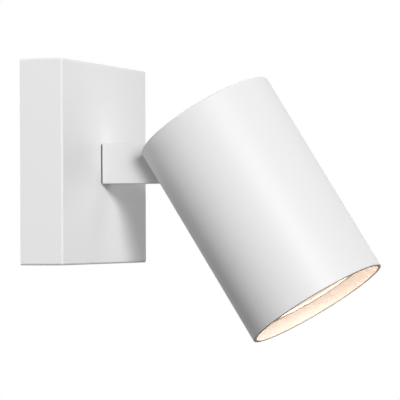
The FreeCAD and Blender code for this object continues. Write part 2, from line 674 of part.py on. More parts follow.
# ---- Turns with the swivel ----
def arm():
    """Flat bar with a round end for the tilt axle, and a channel for the leads."""
    low = V(-ARM_THICKNESS / 2, PIVOT_Y, -ARM_HEIGHT / 2)
    high = V(ARM_THICKNESS / 2, ARM_START, ARM_HEIGHT / 2)
    knuckle = rod(KNUCKLE_RADIUS, V(low.x, PIVOT_Y, 0), V(high.x, PIVOT_Y, 0))
    bar = box(low, high).fuse(knuckle).removeSplitter()
    bar = bar.makeFillet(ARM_EDGE_RADIUS, edges_along(bar, TO_WALL))
    bar = bar.cut(rod(STUD_RADIUS + SCREW_FIT, V(0, STUD_START, 0), V(0, ARM_START, 0)))
    near = PIVOT_Y + WINDOW_SETBACK
    far = near + WINDOW_LENGTH
    channel = rod(ARM_CHANNEL_RADIUS, V(0, near, 0), V(0, STUD_START, 0))
    half = WINDOW_WIDTH / 2
    window = box(V(-half, near + half, -ARM_HEIGHT), V(half, far - half, 0))
    for end in (near + half, far - half):
        window = window.fuse(rod(half, V(0, end, -ARM_HEIGHT), V(0, end, 0)))
    aside = RIGHT * ARM_THICKNESS
    axle_hole = rod(PIVOT_BOLT_RADIUS + PIVOT_FIT, PIVOT - aside, PIVOT + aside)
    return bar.cut(channel).cut(window).cut(axle_hole)


def swivel_stud():
    """Hollow stud, screwed into the arm, with a flat that keys the stop washer."""
    stud = tube(STUD_RADIUS, STUD_BORE_RADIUS, V(0, STUD_START, 0), V(0, STUD_END, 0))
    flat = box(V(STUD_FLAT, STACK_START, -STUD_RADIUS), V(2 * STUD_RADIUS, STOP_WASHER_END, STUD_RADIUS))
    return stud.cut(flat)


def gap_washer():
    """Thin spacer between the arm and the cover."""
    return tube(GAP_WASHER_RADIUS, STUD_RADIUS + SWIVEL_FIT, V(0, ARM_START, 0), V(0, COVER_FRONT, 0))


def stop_washer():
    """Washer keyed to the stud, whose tab meets the lug at each end of the turn."""
    start = V(0, STACK_START, 0)
    end = V(0, STOP_WASHER_END, 0)
    tab = box(
        V(-STOP_LUG_WIDTH / 2, STACK_START, STUD_RADIUS + SCREW_FIT),
        V(STOP_LUG_WIDTH / 2, STOP_WASHER_END, STOP_RADIUS + STOP_OVERLAP),
    )
    washer = rod(STOP_WASHER_RADIUS, start, end).fuse(tab).removeSplitter()
    keyed_hole = rod(STUD_RADIUS + SCREW_FIT, start, end)
    reach = STUD_RADIUS + OVERCUT
    beyond_flat = box(V(STUD_FLAT + SCREW_FIT, STACK_START, -reach), V(2 * reach, STOP_WASHER_END, reach))
    return washer.cut(keyed_hole.cut(beyond_flat))


def split_washer(radius, bore, start, end, split):
    """Spring washer with a cut through one side."""
    way = end - start
    ring = tube(radius, bore, start, end)
    half = split / 2
    if abs(way.x) > 0:
        cut = box(start + V(0, -half, 0), end + V(0, half, 2 * radius))
    else:
        cut = box(start + V(-half, 0, 0), end + V(half, 0, 2 * radius))
    return ring.cut(cut)


def spring_washer():
    """Spring washer that gives the swivel its friction."""
    start = V(0, STOP_WASHER_END, 0)
    end = V(0, SPRING_WASHER_END, 0)
    return split_washer(SPRING_WASHER_RADIUS, STUD_RADIUS + PASS_FIT, start, end, SPRING_WASHER_SPLIT)


def swivel_nut():
    """Nut on the hollow stud."""
    start = V(0, SPRING_WASHER_END, 0)
    end = V(0, SWIVEL_NUT_END, 0)
    return prism(SWIVEL_NUT_FLATS, start, end).cut(rod(STUD_RADIUS + SCREW_FIT, start, end))


def arm_lead(kind):
    """Straight stretch of a lead, through the stud and along the arm."""
    x, z = lead_offsets()[kind]
    return lead(f"arm_{kind}_lead", [V(x, STUD_END, z), V(x, LEAD_SPLIT_Y, z)])


# ---- Turns with the head: made in the head's own frame ----
def head_tube():
    """Straight round shade, open at both ends, with a slot for the arm."""
    shell = tube(HEAD_RADIUS, HEAD_BORE_RADIUS, UP * HEAD_MOUTH, UP * CAP_SEAT)
    rim = round_edges(shell, HEAD_RADIUS, HEAD_MOUTH) + round_edges(shell, HEAD_BORE_RADIUS, HEAD_MOUTH)
    return in_head(shell.makeFillet(HEAD_RIM_RADIUS, rim).cut(arm_slot()))


def head_cap():
    """Rear disc of the head, with a spigot that fits the tube and two pillars for the hinge plate."""
    disc = rod(HEAD_RADIUS, UP * CAP_SEAT, UP * HEAD_TOP)
    disc = disc.makeFillet(CAP_EDGE_RADIUS, round_edges(disc, HEAD_RADIUS, HEAD_TOP))
    outside = HEAD_BORE_RADIUS - CAP_FIT
    spigot_end = UP * (CAP_SEAT - CAP_SPIGOT_DEPTH)
    cap = disc.fuse(tube(outside, outside - CAP_SPIGOT_WALL, spigot_end, UP * CAP_SEAT))
    for side in (-1, 1):
        foot = V(side * PILLAR_SPACING / 2, 0, HINGE_PLATE_TOP)
        cap = cap.fuse(rod(PILLAR_RADIUS, foot, V(foot.x, 0, CAP_SEAT)))
    cap = cap.removeSplitter()
    for side in (-1, 1):
        foot = V(side * PILLAR_SPACING / 2, 0, HINGE_PLATE_TOP)
        cap = cap.cut(rod(PILLAR_SCREW_RADIUS + SCREW_FIT, foot, foot + UP * PILLAR_HOLE_DEPTH))
    return in_head(cap.cut(arm_slot()))


def round_edges(shape, radius, z):
    """The full circles of a turned shape that have a given radius and height."""
    found = []
    for edge in shape.Edges:
        if edge.Curve.TypeId == "Part::GeomCircle" and abs(edge.CenterOfMass.z - z) < SAME_PLACE:
            if abs(edge.Curve.Radius - radius) < SAME_PLACE:
                found.append(edge)
    return found


def arm_slot():
    """The space that the arm sweeps through the rear of the head."""
    half = ARM_THICKNESS / 2 + SLOT_CLEARANCE
    reach = KNUCKLE_RADIUS + SLOT_CLEARANCE
    return box(V(-half, -reach, -reach), V(half, HEAD_RADIUS + OVERCUT, HEAD_TOP + OVERCUT))


def hinge_plate():
    """Steel plate on the pillars, with two bent ears beside the arm's end."""
    half_length = PILLAR_SPACING / 2 + HINGE_PLATE_OVERHANG
    half_width = HINGE_PLATE_WIDTH / 2
    plate = box(V(-half_length, -half_width, HINGE_PLATE_UNDER), V(half_length, half_width, HINGE_PLATE_TOP))
    plate = plate.makeFillet(HINGE_PLATE_CORNER_RADIUS, edges_along(plate, UP))
    for side in (-1, 1):
        inside = side * EAR_INSIDE
        outside = side * EAR_OUTSIDE
        ear = box(
            V(min(inside, outside), -EAR_RADIUS, HINGE_PLATE_UNDER), V(max(inside, outside), EAR_RADIUS, 0)
        )
        ear = ear.fuse(rod(EAR_RADIUS, V(inside, 0, 0), V(outside, 0, 0)))
        plate = plate.fuse(ear)
    plate = plate.removeSplitter()
    axle = RIGHT * (2 * EAR_OUTSIDE)
    plate = plate.cut(rod(PIVOT_BOLT_RADIUS + PIVOT_FIT, axle * -1, axle))
    for side in (-1, 1):
        for place, radius in (
            (side * PILLAR_SPACING / 2, PILLAR_SCREW_RADIUS + PASS_FIT),
            (side * HOLDER_SCREW_OFFSET, HOLDER_SCREW_RADIUS + SCREW_FIT),
        ):
            plate = plate.cut(rod(radius, V(place, 0, HINGE_PLATE_UNDER), V(place, 0, HINGE_PLATE_TOP)))
    return in_head(plate)


def hinge_plate_screws():
    """Screws from the hinge plate up into the pillars. The one on the +X side also holds the earth tag."""
    def make(side):
        seat_z = HINGE_PLATE_UNDER - (EARTH_RING_THICKNESS if side > 0 else 0)
        seat = V(side * PILLAR_SPACING / 2, 0, seat_z)
        shank = rod(PILLAR_SCREW_RADIUS, seat, V(seat.x, 0, HINGE_PLATE_TOP + PILLAR_SCREW_REACH))
        return in_head(shank.fuse(driven_head(PILLAR_SCREW_HEAD_RADIUS, PILLAR_SCREW_HEAD_RISE, seat, DOWN)))
    return Part.makeCompound(both_sides(make))


def friction_washers():
    """Fibre washers between the arm's round end and the ears."""
    def make(side):
        return in_head(tube(
            FRICTION_WASHER_RADIUS, PIVOT_BOLT_RADIUS + PIVOT_FIT,
            RIGHT * (side * ARM_THICKNESS / 2), RIGHT * (side * EAR_INSIDE),
        ))
    return Part.makeCompound(both_sides(make))


def pivot_bolt():
    """Tilt axle: a hexagon-headed bolt through both ears and the arm."""
    seat = RIGHT * -EAR_OUTSIDE
    end = RIGHT * (EAR_OUTSIDE + PIVOT_SPRING_THICKNESS + PIVOT_NUT_THICKNESS + PIVOT_PROUD)
    head = prism(PIVOT_FLATS, seat - RIGHT * PIVOT_HEAD_RISE, seat)
    return in_head(rod(PIVOT_BOLT_RADIUS, seat, end).fuse(head))


def pivot_spring_washer():
    """Spring washer that gives the tilt its friction."""
    start = RIGHT * EAR_OUTSIDE
    end = start + RIGHT * PIVOT_SPRING_THICKNESS
    bore = PIVOT_BOLT_RADIUS + PASS_FIT
    return in_head(split_washer(PIVOT_SPRING_RADIUS, bore, start, end, SPRING_WASHER_SPLIT))


def pivot_nut():
    """Nut of the tilt axle."""
    start = RIGHT * (EAR_OUTSIDE + PIVOT_SPRING_THICKNESS)
    end = start + RIGHT * PIVOT_NUT_THICKNESS
    return in_head(prism(PIVOT_FLATS, start, end).cut(rod(PIVOT_BOLT_RADIUS + SCREW_FIT, start, end)))


def lampholder():
    """Ceramic holder: each pin head goes in at a round port, then turns behind the holder's face."""
    half = V(HOLDER_LENGTH / 2, HOLDER_WIDTH / 2, 0)
    body = box(V(-half.x, -half.y, HOLDER_FRONT), V(half.x, half.y, HINGE_PLATE_UNDER))
    body = body.makeFillet(HOLDER_CORNER_RADIUS, edges_along(body, UP))
    face = HOLDER_FRONT + HOLDER_FACE
    neck_room = PIN_RADIUS + PIN_FIT
    head_room = PIN_HEAD_RADIUS + PIN_FIT
    for locked in (0, 180):
        unlocked = locked - LAMP_TWIST
        body = body.cut(curved_slot(PIN_OFFSET, neck_room, HOLDER_FRONT, face, unlocked, locked))
        body = body.cut(curved_slot(PIN_OFFSET, head_room, face, CHAMBER_FLOOR, unlocked, locked))
        turned_back = math.radians(unlocked)
        port = V(PIN_OFFSET * math.cos(turned_back), PIN_OFFSET * math.sin(turned_back), 0)
        body = body.cut(rod(head_room, port + UP * HOLDER_FRONT, port + UP * face))
    for side in (-1, 1):
        place = V(side * HOLDER_SCREW_OFFSET, 0, HOLDER_FRONT)
        body = body.cut(rod(HOLDER_SCREW_RADIUS + PASS_FIT, place, place + UP * HOLDER_DEPTH))
        body = body.cut(rod(HOLDER_SCREW_HEAD_RADIUS + PASS_FIT, place, place + UP * HOLDER_SCREW_RECESS))
        port_end = V(side * LEAD_PORT_OFFSET, half.y - LEAD_PORT_DEPTH, LEAD_PORT_Z)
        body = body.cut(rod(LEAD_RADIUS + LEAD_FIT, port_end, V(port_end.x, half.y, LEAD_PORT_Z)))
    return in_head(body)


def holder_contacts():
    """Brass contacts at the bottom of the pins' chambers."""
    def make(side):
        middle = side * PIN_OFFSET
        half = CONTACT_WIDTH / 2
        under = HOLDER_FRONT + PIN_NECK_LENGTH + PIN_HEAD_LENGTH + CONTACT_GAP
        return in_head(box(V(middle - half, -half, under), V(middle + half, half, CHAMBER_FLOOR)))
    return Part.makeCompound(both_sides(make))


def holder_screws():
    """Screws that hold the lampholder to the hinge plate."""
    def make(side):
        seat = V(side * HOLDER_SCREW_OFFSET, 0, HOLDER_FRONT + HOLDER_SCREW_RECESS)
        shank = rod(HOLDER_SCREW_RADIUS, seat, V(seat.x, 0, HINGE_PLATE_TOP + HOLDER_SCREW_PROUD))
        head = driven_head(HOLDER_SCREW_HEAD_RADIUS, HOLDER_SCREW_HEAD_RISE, seat, DOWN)
        return in_head(shank.fuse(head))
    return Part.makeCompound(both_sides(make))


def earth_tag():
    """Ring tag under the +X screw of the hinge plate, with a barrel that opens to the wall side."""
    seat = V(PILLAR_SPACING / 2, 0, HINGE_PLATE_UNDER)
    under = seat + DOWN * EARTH_RING_THICKNESS
    barrel_start = V(seat.x, PILLAR_SCREW_HEAD_RADIUS + EARTH_BARREL_GAP, seat.z - EARTH_BARREL_RISE)
    barrel_end = barrel_start + TO_WALL * EARTH_BARREL_LENGTH
    ring = rod(EARTH_RING_RADIUS, under, seat).fuse(rod(EARTH_BARREL_RADIUS, barrel_start, barrel_end))
    ring = ring.cut(rod(PILLAR_SCREW_RADIUS + PASS_FIT, under, seat))
    bore_start = barrel_start + TO_WALL * EARTH_RING_THICKNESS
    return in_head(ring.cut(rod(LEAD_RADIUS + LEAD_FIT, bore_start, barrel_end)))


def head_lead(kind):
    """Slack loop of a lead, from the arm's window to the lampholder or the earth tag."""
    x, z = lead_offsets()[kind]
    side = -1 if kind == "live" else 1
    bend_y = PIVOT_Y + (EXIT_NEAR if kind == "neutral" else EXIT_FAR)
    under = -ARM_HEIGHT / 2
    port_y = HOLDER_WIDTH / 2
    if kind == "earth":
        tag_x = PILLAR_SPACING / 2
        tag_z = HINGE_PLATE_UNDER - EARTH_BARREL_RISE
        tag_y = PILLAR_SCREW_HEAD_RADIUS + EARTH_BARREL_GAP + EARTH_RING_THICKNESS
        loop = V(EARTH_LOOP_SPREAD, bend_y + EARTH_LOOP_BACK, under - EARTH_LOOP_DROP)
        end = V(tag_x, tag_y, tag_z)
        run = PORT_RUN
    else:
        port_x = side * LEAD_PORT_OFFSET
        loop = V(side * LOOP_SPREAD, bend_y + LOOP_BACK, under - LOOP_DROP)
        end = V(port_x, port_y - LEAD_PORT_DEPTH, LEAD_PORT_Z)
        run = PORT_RUN + LEAD_PORT_DEPTH
    return lead(f"head_{kind}_lead", [
        V(x, LEAD_SPLIT_Y, z),
        V(x, bend_y, z),
        V(x + side * EXIT_SPREAD, bend_y + EXIT_LEAN, under - EXIT_DROP),
        loop,
        head_point(end.x, end.y + run, end.z),
        head_point(end.x, end.y, end.z),
    ])


# ---- Lamp: made in the head's own frame ----
def lamp_housing():
    """Cup of the lamp, with a straight rim and a cone down to the base."""
    radius = LAMP_DIAMETER / 2
    rim_end = LAMP_FRONT + LAMP_RIM_DEPTH
    neck = HOLDER_FRONT - LAMP_BASE_LENGTH
    inner = radius - LENS_LIP
    shelf = LAMP_FRONT + LENS_INSET + LENS_THICKNESS
    return in_head(turned([
        (0, neck), (LAMP_NECK_RADIUS, neck), (radius, rim_end), (radius, LAMP_FRONT), (inner, LAMP_FRONT),
        (inner, shelf), (inner - LAMP_WALL, shelf), (inner - LAMP_WALL, rim_end),
        (LAMP_NECK_RADIUS - LAMP_WALL, neck - LAMP_WALL), (0, neck - LAMP_WALL),
    ]))


def lamp_lens():
    """Frosted disc in the lamp's rim."""
    radius = LAMP_DIAMETER / 2 - LENS_LIP - LENS_FIT
    low = V(0, 0, LAMP_FRONT + LENS_INSET)
    lens = rod(radius, low, low + UP * LENS_THICKNESS)
    return in_head(lens.makeFillet(LENS_EDGE_RADIUS, round_edges(lens, radius, low.z)))


def lamp_board():
    """Round board that carries the light source, in the lamp's cone."""
    z = LAMP_FRONT + BOARD_SETBACK
    neck = HOLDER_FRONT - LAMP_BASE_LENGTH
    rim_end = LAMP_FRONT + LAMP_RIM_DEPTH
    wide = LAMP_DIAMETER / 2 - LENS_LIP - LAMP_WALL
    narrow = LAMP_NECK_RADIUS - LAMP_WALL
    share = (z - rim_end) / (neck - LAMP_WALL - rim_end)
    lower = wide + (narrow - wide) * share - LENS_FIT
    share = (z + BOARD_THICKNESS - rim_end) / (neck - LAMP_WALL - rim_end)
    upper = wide + (narrow - wide) * share - LENS_FIT
    return in_head(turned([(0, z), (lower, z), (upper, z + BOARD_THICKNESS), (0, z + BOARD_THICKNESS)]))


def lamp_base():
    """Round base of the lamp that stands on the holder's face."""
    neck = HOLDER_FRONT - LAMP_BASE_LENGTH
    return in_head(turned([
        (0, neck), (LAMP_BASE_RADIUS, neck), (LAMP_BASE_RADIUS, HOLDER_FRONT - LAMP_BASE_BEVEL),
        (LAMP_BASE_RADIUS - LAMP_BASE_BEVEL, HOLDER_FRONT), (0, HOLDER_FRONT),
    ]))


def lamp_pins():
    """Two pins with wide heads, which lock behind the holder's face."""
    def make(side):
        foot = V(side * PIN_OFFSET, 0, HOLDER_FRONT)
        neck_end = foot + UP * PIN_NECK_LENGTH
        head_end = neck_end + UP * PIN_HEAD_LENGTH
        return in_head(rod(PIN_RADIUS, foot, neck_end).fuse(rod(PIN_HEAD_RADIUS, neck_end, head_end)))
    return Part.makeCompound(both_sides(make))


PIECES = {
    "backplate_cover": backplate_cover,
    "swivel_plate": swivel_plate,
    "wall_bracket": wall_bracket,
    "cover_screws": cover_screws,
    "cable_grommet": cable_grommet,
    "terminal_block": terminal_block,
    "terminal_clamps": terminal_clamps,
    "terminal_screws": terminal_screws,
    "block_screws": block_screws,
    "earth_ring": earth_ring,
    "earth_screw": earth_screw,
    "bracket_earth_lead": bracket_earth_lead,
    "block_live_lead": lambda: block_lead("live", POLES[0]),
    "block_neutral_lead": lambda: block_lead("neutral", POLES[1]),
    "block_earth_lead": lambda: block_lead("earth", POLES[2]),
    "arm": arm,
    "swivel_stud": swivel_stud,
    "gap_washer": gap_washer,
    "stop_washer": stop_washer,
    "spring_washer": spring_washer,
    "swivel_nut": swivel_nut,
    "arm_live_lead": lambda: arm_lead("live"),
    "arm_neutral_lead": lambda: arm_lead("neutral"),
    "arm_earth_lead": lambda: arm_lead("earth"),
    "head_tube": head_tube,
    "head_cap": head_cap,
    "hinge_plate": hinge_plate,
    "hinge_plate_screws": hinge_plate_screws,
    "friction_washers": friction_washers,
    "pivot_bolt": pivot_bolt,
    "pivot_spring_washer": pivot_spring_washer,
    "pivot_nut": pivot_nut,
    "lampholder": lampholder,
    "holder_contacts": holder_contacts,
    "holder_screws": holder_screws,
    "earth_tag": earth_tag,
    "head_live_lead": lambda: head_lead("live"),
    "head_neutral_lead": lambda: head_lead("neutral"),
    "head_earth_lead": lambda: head_lead("earth"),
    "lamp_housing": lamp_housing,
    "lamp_lens": lamp_lens,
    "lamp_board": lamp_board,
    "lamp_base": lamp_base,
    "lamp_pins": lamp_pins,
}

os.makedirs("parts", exist_ok=True)
for name, make_piece in PIECES.items():
    piece = make_piece()
    print(f"{name}: {len(piece.Solids)} solids, {piece.Volume:.1f} mm3, valid {piece.isValid()}")
    piece.exportStep(f"parts/{name}.step")
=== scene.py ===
"""Looks of a pivoting spotlight wall light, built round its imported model.

Lengths are in metres. +Y points into the wall, +X to the right for someone facing it, and +Z up.
"""

import json
import logging
import math
from abc import ABC, abstractmethod
from dataclasses import dataclass
from enum import Enum

import bmesh
import bpy
from mathutils import Matrix, Vector

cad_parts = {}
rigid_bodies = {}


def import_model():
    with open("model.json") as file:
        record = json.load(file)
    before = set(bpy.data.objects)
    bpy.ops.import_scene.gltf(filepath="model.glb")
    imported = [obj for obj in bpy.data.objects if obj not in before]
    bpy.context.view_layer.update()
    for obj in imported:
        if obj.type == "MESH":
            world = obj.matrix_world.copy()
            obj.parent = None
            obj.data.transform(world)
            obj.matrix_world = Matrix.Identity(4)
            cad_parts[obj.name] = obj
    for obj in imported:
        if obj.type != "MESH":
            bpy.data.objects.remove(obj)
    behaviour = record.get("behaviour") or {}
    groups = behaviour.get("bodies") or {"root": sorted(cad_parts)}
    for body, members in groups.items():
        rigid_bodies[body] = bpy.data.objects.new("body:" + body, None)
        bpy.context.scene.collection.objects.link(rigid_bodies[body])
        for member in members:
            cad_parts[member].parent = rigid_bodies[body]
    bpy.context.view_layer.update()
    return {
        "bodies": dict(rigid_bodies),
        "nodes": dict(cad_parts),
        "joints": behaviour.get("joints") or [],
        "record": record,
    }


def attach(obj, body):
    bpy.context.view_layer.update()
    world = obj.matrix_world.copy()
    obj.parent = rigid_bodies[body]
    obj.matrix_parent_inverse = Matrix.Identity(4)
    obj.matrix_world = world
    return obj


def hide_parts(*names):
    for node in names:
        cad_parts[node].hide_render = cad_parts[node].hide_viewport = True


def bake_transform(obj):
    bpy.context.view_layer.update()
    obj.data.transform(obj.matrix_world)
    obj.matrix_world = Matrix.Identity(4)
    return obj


LOG = logging.getLogger("wall_light")

Rgb = tuple[float, float, float]
Point = tuple[float, float, float]
Profile = list[tuple[float, float]]
Ring = list[bmesh.types.BMVert]

MM = 0.001
WHITE: Rgb = (1.0, 1.0, 1.0)
SHARP_FROM = 32.0                                       # an edge this steep, in degrees, stays sharp
PIVOT: Point = (0.0, -80.0 * MM, 0.0)                   # where the tilt axis crosses the head's axis
HEAD_AXIS: Point = (0.0, -0.529919264, -0.848048096)    # from the pivot to the mouth


def opaque(colour: Rgb) -> tuple[float, float, float, float]:
    """Give a colour full alpha."""
    return (*colour, 1.0)


def link(thing: bpy.types.Object) -> bpy.types.Object:
    """Put an object into the scene."""
    bpy.context.scene.collection.objects.link(thing)
    return thing


def direction(azimuth: float, elevation: float) -> Vector:
    """Point from the object's middle to a place round it.

    Args:
        azimuth: In degrees, 0 in front and -90 on the left.
        elevation: In degrees above the level of the middle.

    Returns:
        A vector with a length of 1.
    """
    turn, rise = math.radians(azimuth), math.radians(elevation)
    return Vector((math.sin(turn) * math.cos(rise), -math.cos(turn) * math.cos(rise), math.sin(rise)))


class Slot(Enum):
    """The record's material slots."""

    COVER_PAINT = "white_paint"
    ARM_PAINT = "arm_paint"
    HEAD_PAINT = "head_paint"
    ZINC_STEEL = "zinc_steel"
    SCREW_STEEL = "screw_steel"
    BRASS = "brass"
    BLOCK_PLASTIC = "block_plastic"
    BLACK_RUBBER = "black_rubber"
    FIBRE = "fibre"
    CERAMIC = "ceramic"
    LEAD_BROWN = "lead_brown"
    LEAD_BLUE = "lead_blue"
    LEAD_STRIPED = "lead_green_yellow"
    LAMP_PLASTIC = "lamp_plastic"
    LAMP_LENS = "lamp_lens"
    LAMP_BOARD = "lamp_board"
    PIN_STEEL = "pin_steel"


# ---- Shared shader effects ----
class Effect(Enum):
    """Names of the node groups that the finishes share."""

    PAINT_SKIN = "paint_skin"
    BRUSHING = "brushing"
    SPECKLE = "speckle"


class EffectLibrary:
    """Builds each shared node group once and places it in materials."""

    def __init__(self) -> None:
        """Start with no group built."""
        self.groups: dict[Effect, bpy.types.NodeTree] = {}
        self.makers = {
            Effect.PAINT_SKIN: self.make_paint_skin,
            Effect.BRUSHING: self.make_brushing,
            Effect.SPECKLE: self.make_speckle,
        }

    def place(self, tree: bpy.types.NodeTree, effect: Effect, **values: float) -> bpy.types.Node:
        """Put an effect into a material.

        Args:
            tree: The material's node tree.
            effect: Which effect to place.
            **values: Its inputs, with spaces in their names written as underscores.

        Returns:
            The group node.
        """
        if effect not in self.groups:
            self.groups[effect] = self.makers[effect]()
        node = tree.nodes.new("ShaderNodeGroup")
        node.node_tree = self.groups[effect]
        for name, value in values.items():
            node.inputs[name.replace("_", " ")].default_value = value
        return node

    @staticmethod
    def start(
        effect: Effect, inputs: dict[str, float], outputs: list[str]
    ) -> tuple[bpy.types.NodeTree, bpy.types.Node, bpy.types.Node]:
        """Make an empty group with value sockets.

        Args:
            effect: The effect that the group is for.
            inputs: Names and first values of its inputs.
            outputs: Names of its outputs.

        Returns:
            The node tree, its input node and its output node.
        """
        tree = bpy.data.node_groups.new(effect.value, "ShaderNodeTree")
        for name, value in inputs.items():
            socket = tree.interface.new_socket(name=name, in_out="INPUT", socket_type="NodeSocketFloat")
            socket.default_value = value
        for name in outputs:
            tree.interface.new_socket(name=name, in_out="OUTPUT", socket_type="NodeSocketFloat")
        return tree, tree.nodes.new("NodeGroupInput"), tree.nodes.new("NodeGroupOutput")

    @staticmethod
    def coordinates(tree: bpy.types.NodeTree, kind: str = "Object") -> bpy.types.NodeSocket:
        """Read the place on the object, or another kind of coordinates."""
        return tree.nodes.new("ShaderNodeTexCoord").outputs[kind]

    @staticmethod
    def noise(
        tree: bpy.types.NodeTree, place: bpy.types.NodeSocket, scale: bpy.types.NodeSocket, detail: float
    ) -> bpy.types.NodeSocket:
        """Add a noise texture.

        Args:
            tree: Where to add it.
            place: The place that it reads.
            scale: Its scale.
            detail: Number of finer layers on top of the first.

        Returns:
            Its value, from 0 to 1.
        """
        node = tree.nodes.new("ShaderNodeTexNoise")
        node.inputs["Detail"].default_value = detail
        tree.links.new(place, node.inputs["Vector"])
        tree.links.new(scale, node.inputs["Scale"])
        return node.outputs["Fac"]

    @staticmethod
    def operate(tree: bpy.types.NodeTree, kind: str, operation: str, values: tuple) -> bpy.types.Node:
        """Add a node that works on the values of its inputs.

        Args:
            tree: Where to add it.
            kind: The node's type.
            operation: Its operation.
            values: Numbers, vectors or sockets for its inputs, in order.

        Returns:
            The node.
        """
        node = tree.nodes.new(kind)
        node.operation = operation
        for socket, value in zip(node.inputs, values):
            if isinstance(value, bpy.types.NodeSocket):
                tree.links.new(value, socket)
            else:
                socket.default_value = value
        return node

    @classmethod
    def maths(
        cls, tree: bpy.types.NodeTree, operation: str, *values: bpy.types.NodeSocket | float
    ) -> bpy.types.NodeSocket:
        """Work on numbers, or on sockets that give them."""
        return cls.operate(tree, "ShaderNodeMath", operation, values).outputs["Value"]

    @classmethod
    def vector_maths(
        cls, tree: bpy.types.NodeTree, operation: str, result: str, *values: bpy.types.NodeSocket | Point
    ) -> bpy.types.NodeSocket:
        """Work on vectors, or on sockets that give them, for a result that is a Vector or a Value."""
        return cls.operate(tree, "ShaderNodeVectorMath", operation, values).outputs[result]

    def make_paint_skin(self) -> bpy.types.NodeTree:
        """Powder coat: fine ripples with a few larger waves, and a slow drift of gloss and tone.

        Returns:
            The group.
        """
        inputs = {"Ripple Scale": 900.0, "Ripple Share": 0.45, "Wave Scale": 160.0, "Drift Scale": 14.0}
        tree, group_in, group_out = self.start(Effect.PAINT_SKIN, inputs, ["Height", "Drift"])
        place = self.coordinates(tree)
        ripple = self.noise(tree, place, group_in.outputs["Ripple Scale"], detail=2.0)
        wave = self.noise(tree, place, group_in.outputs["Wave Scale"], detail=1.0)
        drift = self.noise(tree, place, group_in.outputs["Drift Scale"], detail=1.0)
        ripple = self.maths(tree, "MULTIPLY", ripple, group_in.outputs["Ripple Share"])
        tree.links.new(self.maths(tree, "ADD", ripple, wave), group_out.inputs["Height"])
        tree.links.new(drift, group_out.inputs["Drift"])
        return tree

    def make_brushing(self) -> bpy.types.NodeTree:
        """Drawn or turned metal: long scratches along the object's Y axis, and cloudy oxide.

        Returns:
            The group.
        """
        inputs = {"Line Scale": 900.0, "Stretch": 0.03, "Cloud Scale": 60.0}
        tree, group_in, group_out = self.start(Effect.BRUSHING, inputs, ["Height", "Cloud"])
        place = self.coordinates(tree)
        squeeze = tree.nodes.new("ShaderNodeCombineXYZ")
        squeeze.inputs["X"].default_value = 1.0
        squeeze.inputs["Z"].default_value = 1.0
        tree.links.new(group_in.outputs["Stretch"], squeeze.inputs["Y"])
        squeezed = self.vector_maths(tree, "MULTIPLY", "Vector", place, squeeze.outputs["Vector"])
        lines = self.noise(tree, squeezed, group_in.outputs["Line Scale"], detail=3.0)
        cloud = self.noise(tree, place, group_in.outputs["Cloud Scale"], detail=2.0)
        tree.links.new(lines, group_out.inputs["Height"])
        tree.links.new(cloud, group_out.inputs["Cloud"])
        return tree

    def make_speckle(self) -> bpy.types.NodeTree:
        """Moulded or fired surface: fine grain, and rare specks.

        Returns:
            The group.
        """
        inputs = {"Grain Scale": 1500.0, "Speck Scale": 350.0, "Speck Size": 0.12}
        tree, group_in, group_out = self.start(Effect.SPECKLE, inputs, ["Height", "Specks"])
        place = self.coordinates(tree)
        grain = self.noise(tree, place, group_in.outputs["Grain Scale"], detail=2.0)
        cells = tree.nodes.new("ShaderNodeTexVoronoi")
        tree.links.new(place, cells.inputs["Vector"])
        tree.links.new(group_in.outputs["Speck Scale"], cells.inputs["Scale"])
        specks = self.maths(tree, "LESS_THAN", cells.outputs["Distance"], group_in.outputs["Speck Size"])
        tree.links.new(grain, group_out.inputs["Height"])
        tree.links.new(specks, group_out.inputs["Specks"])
        return tree


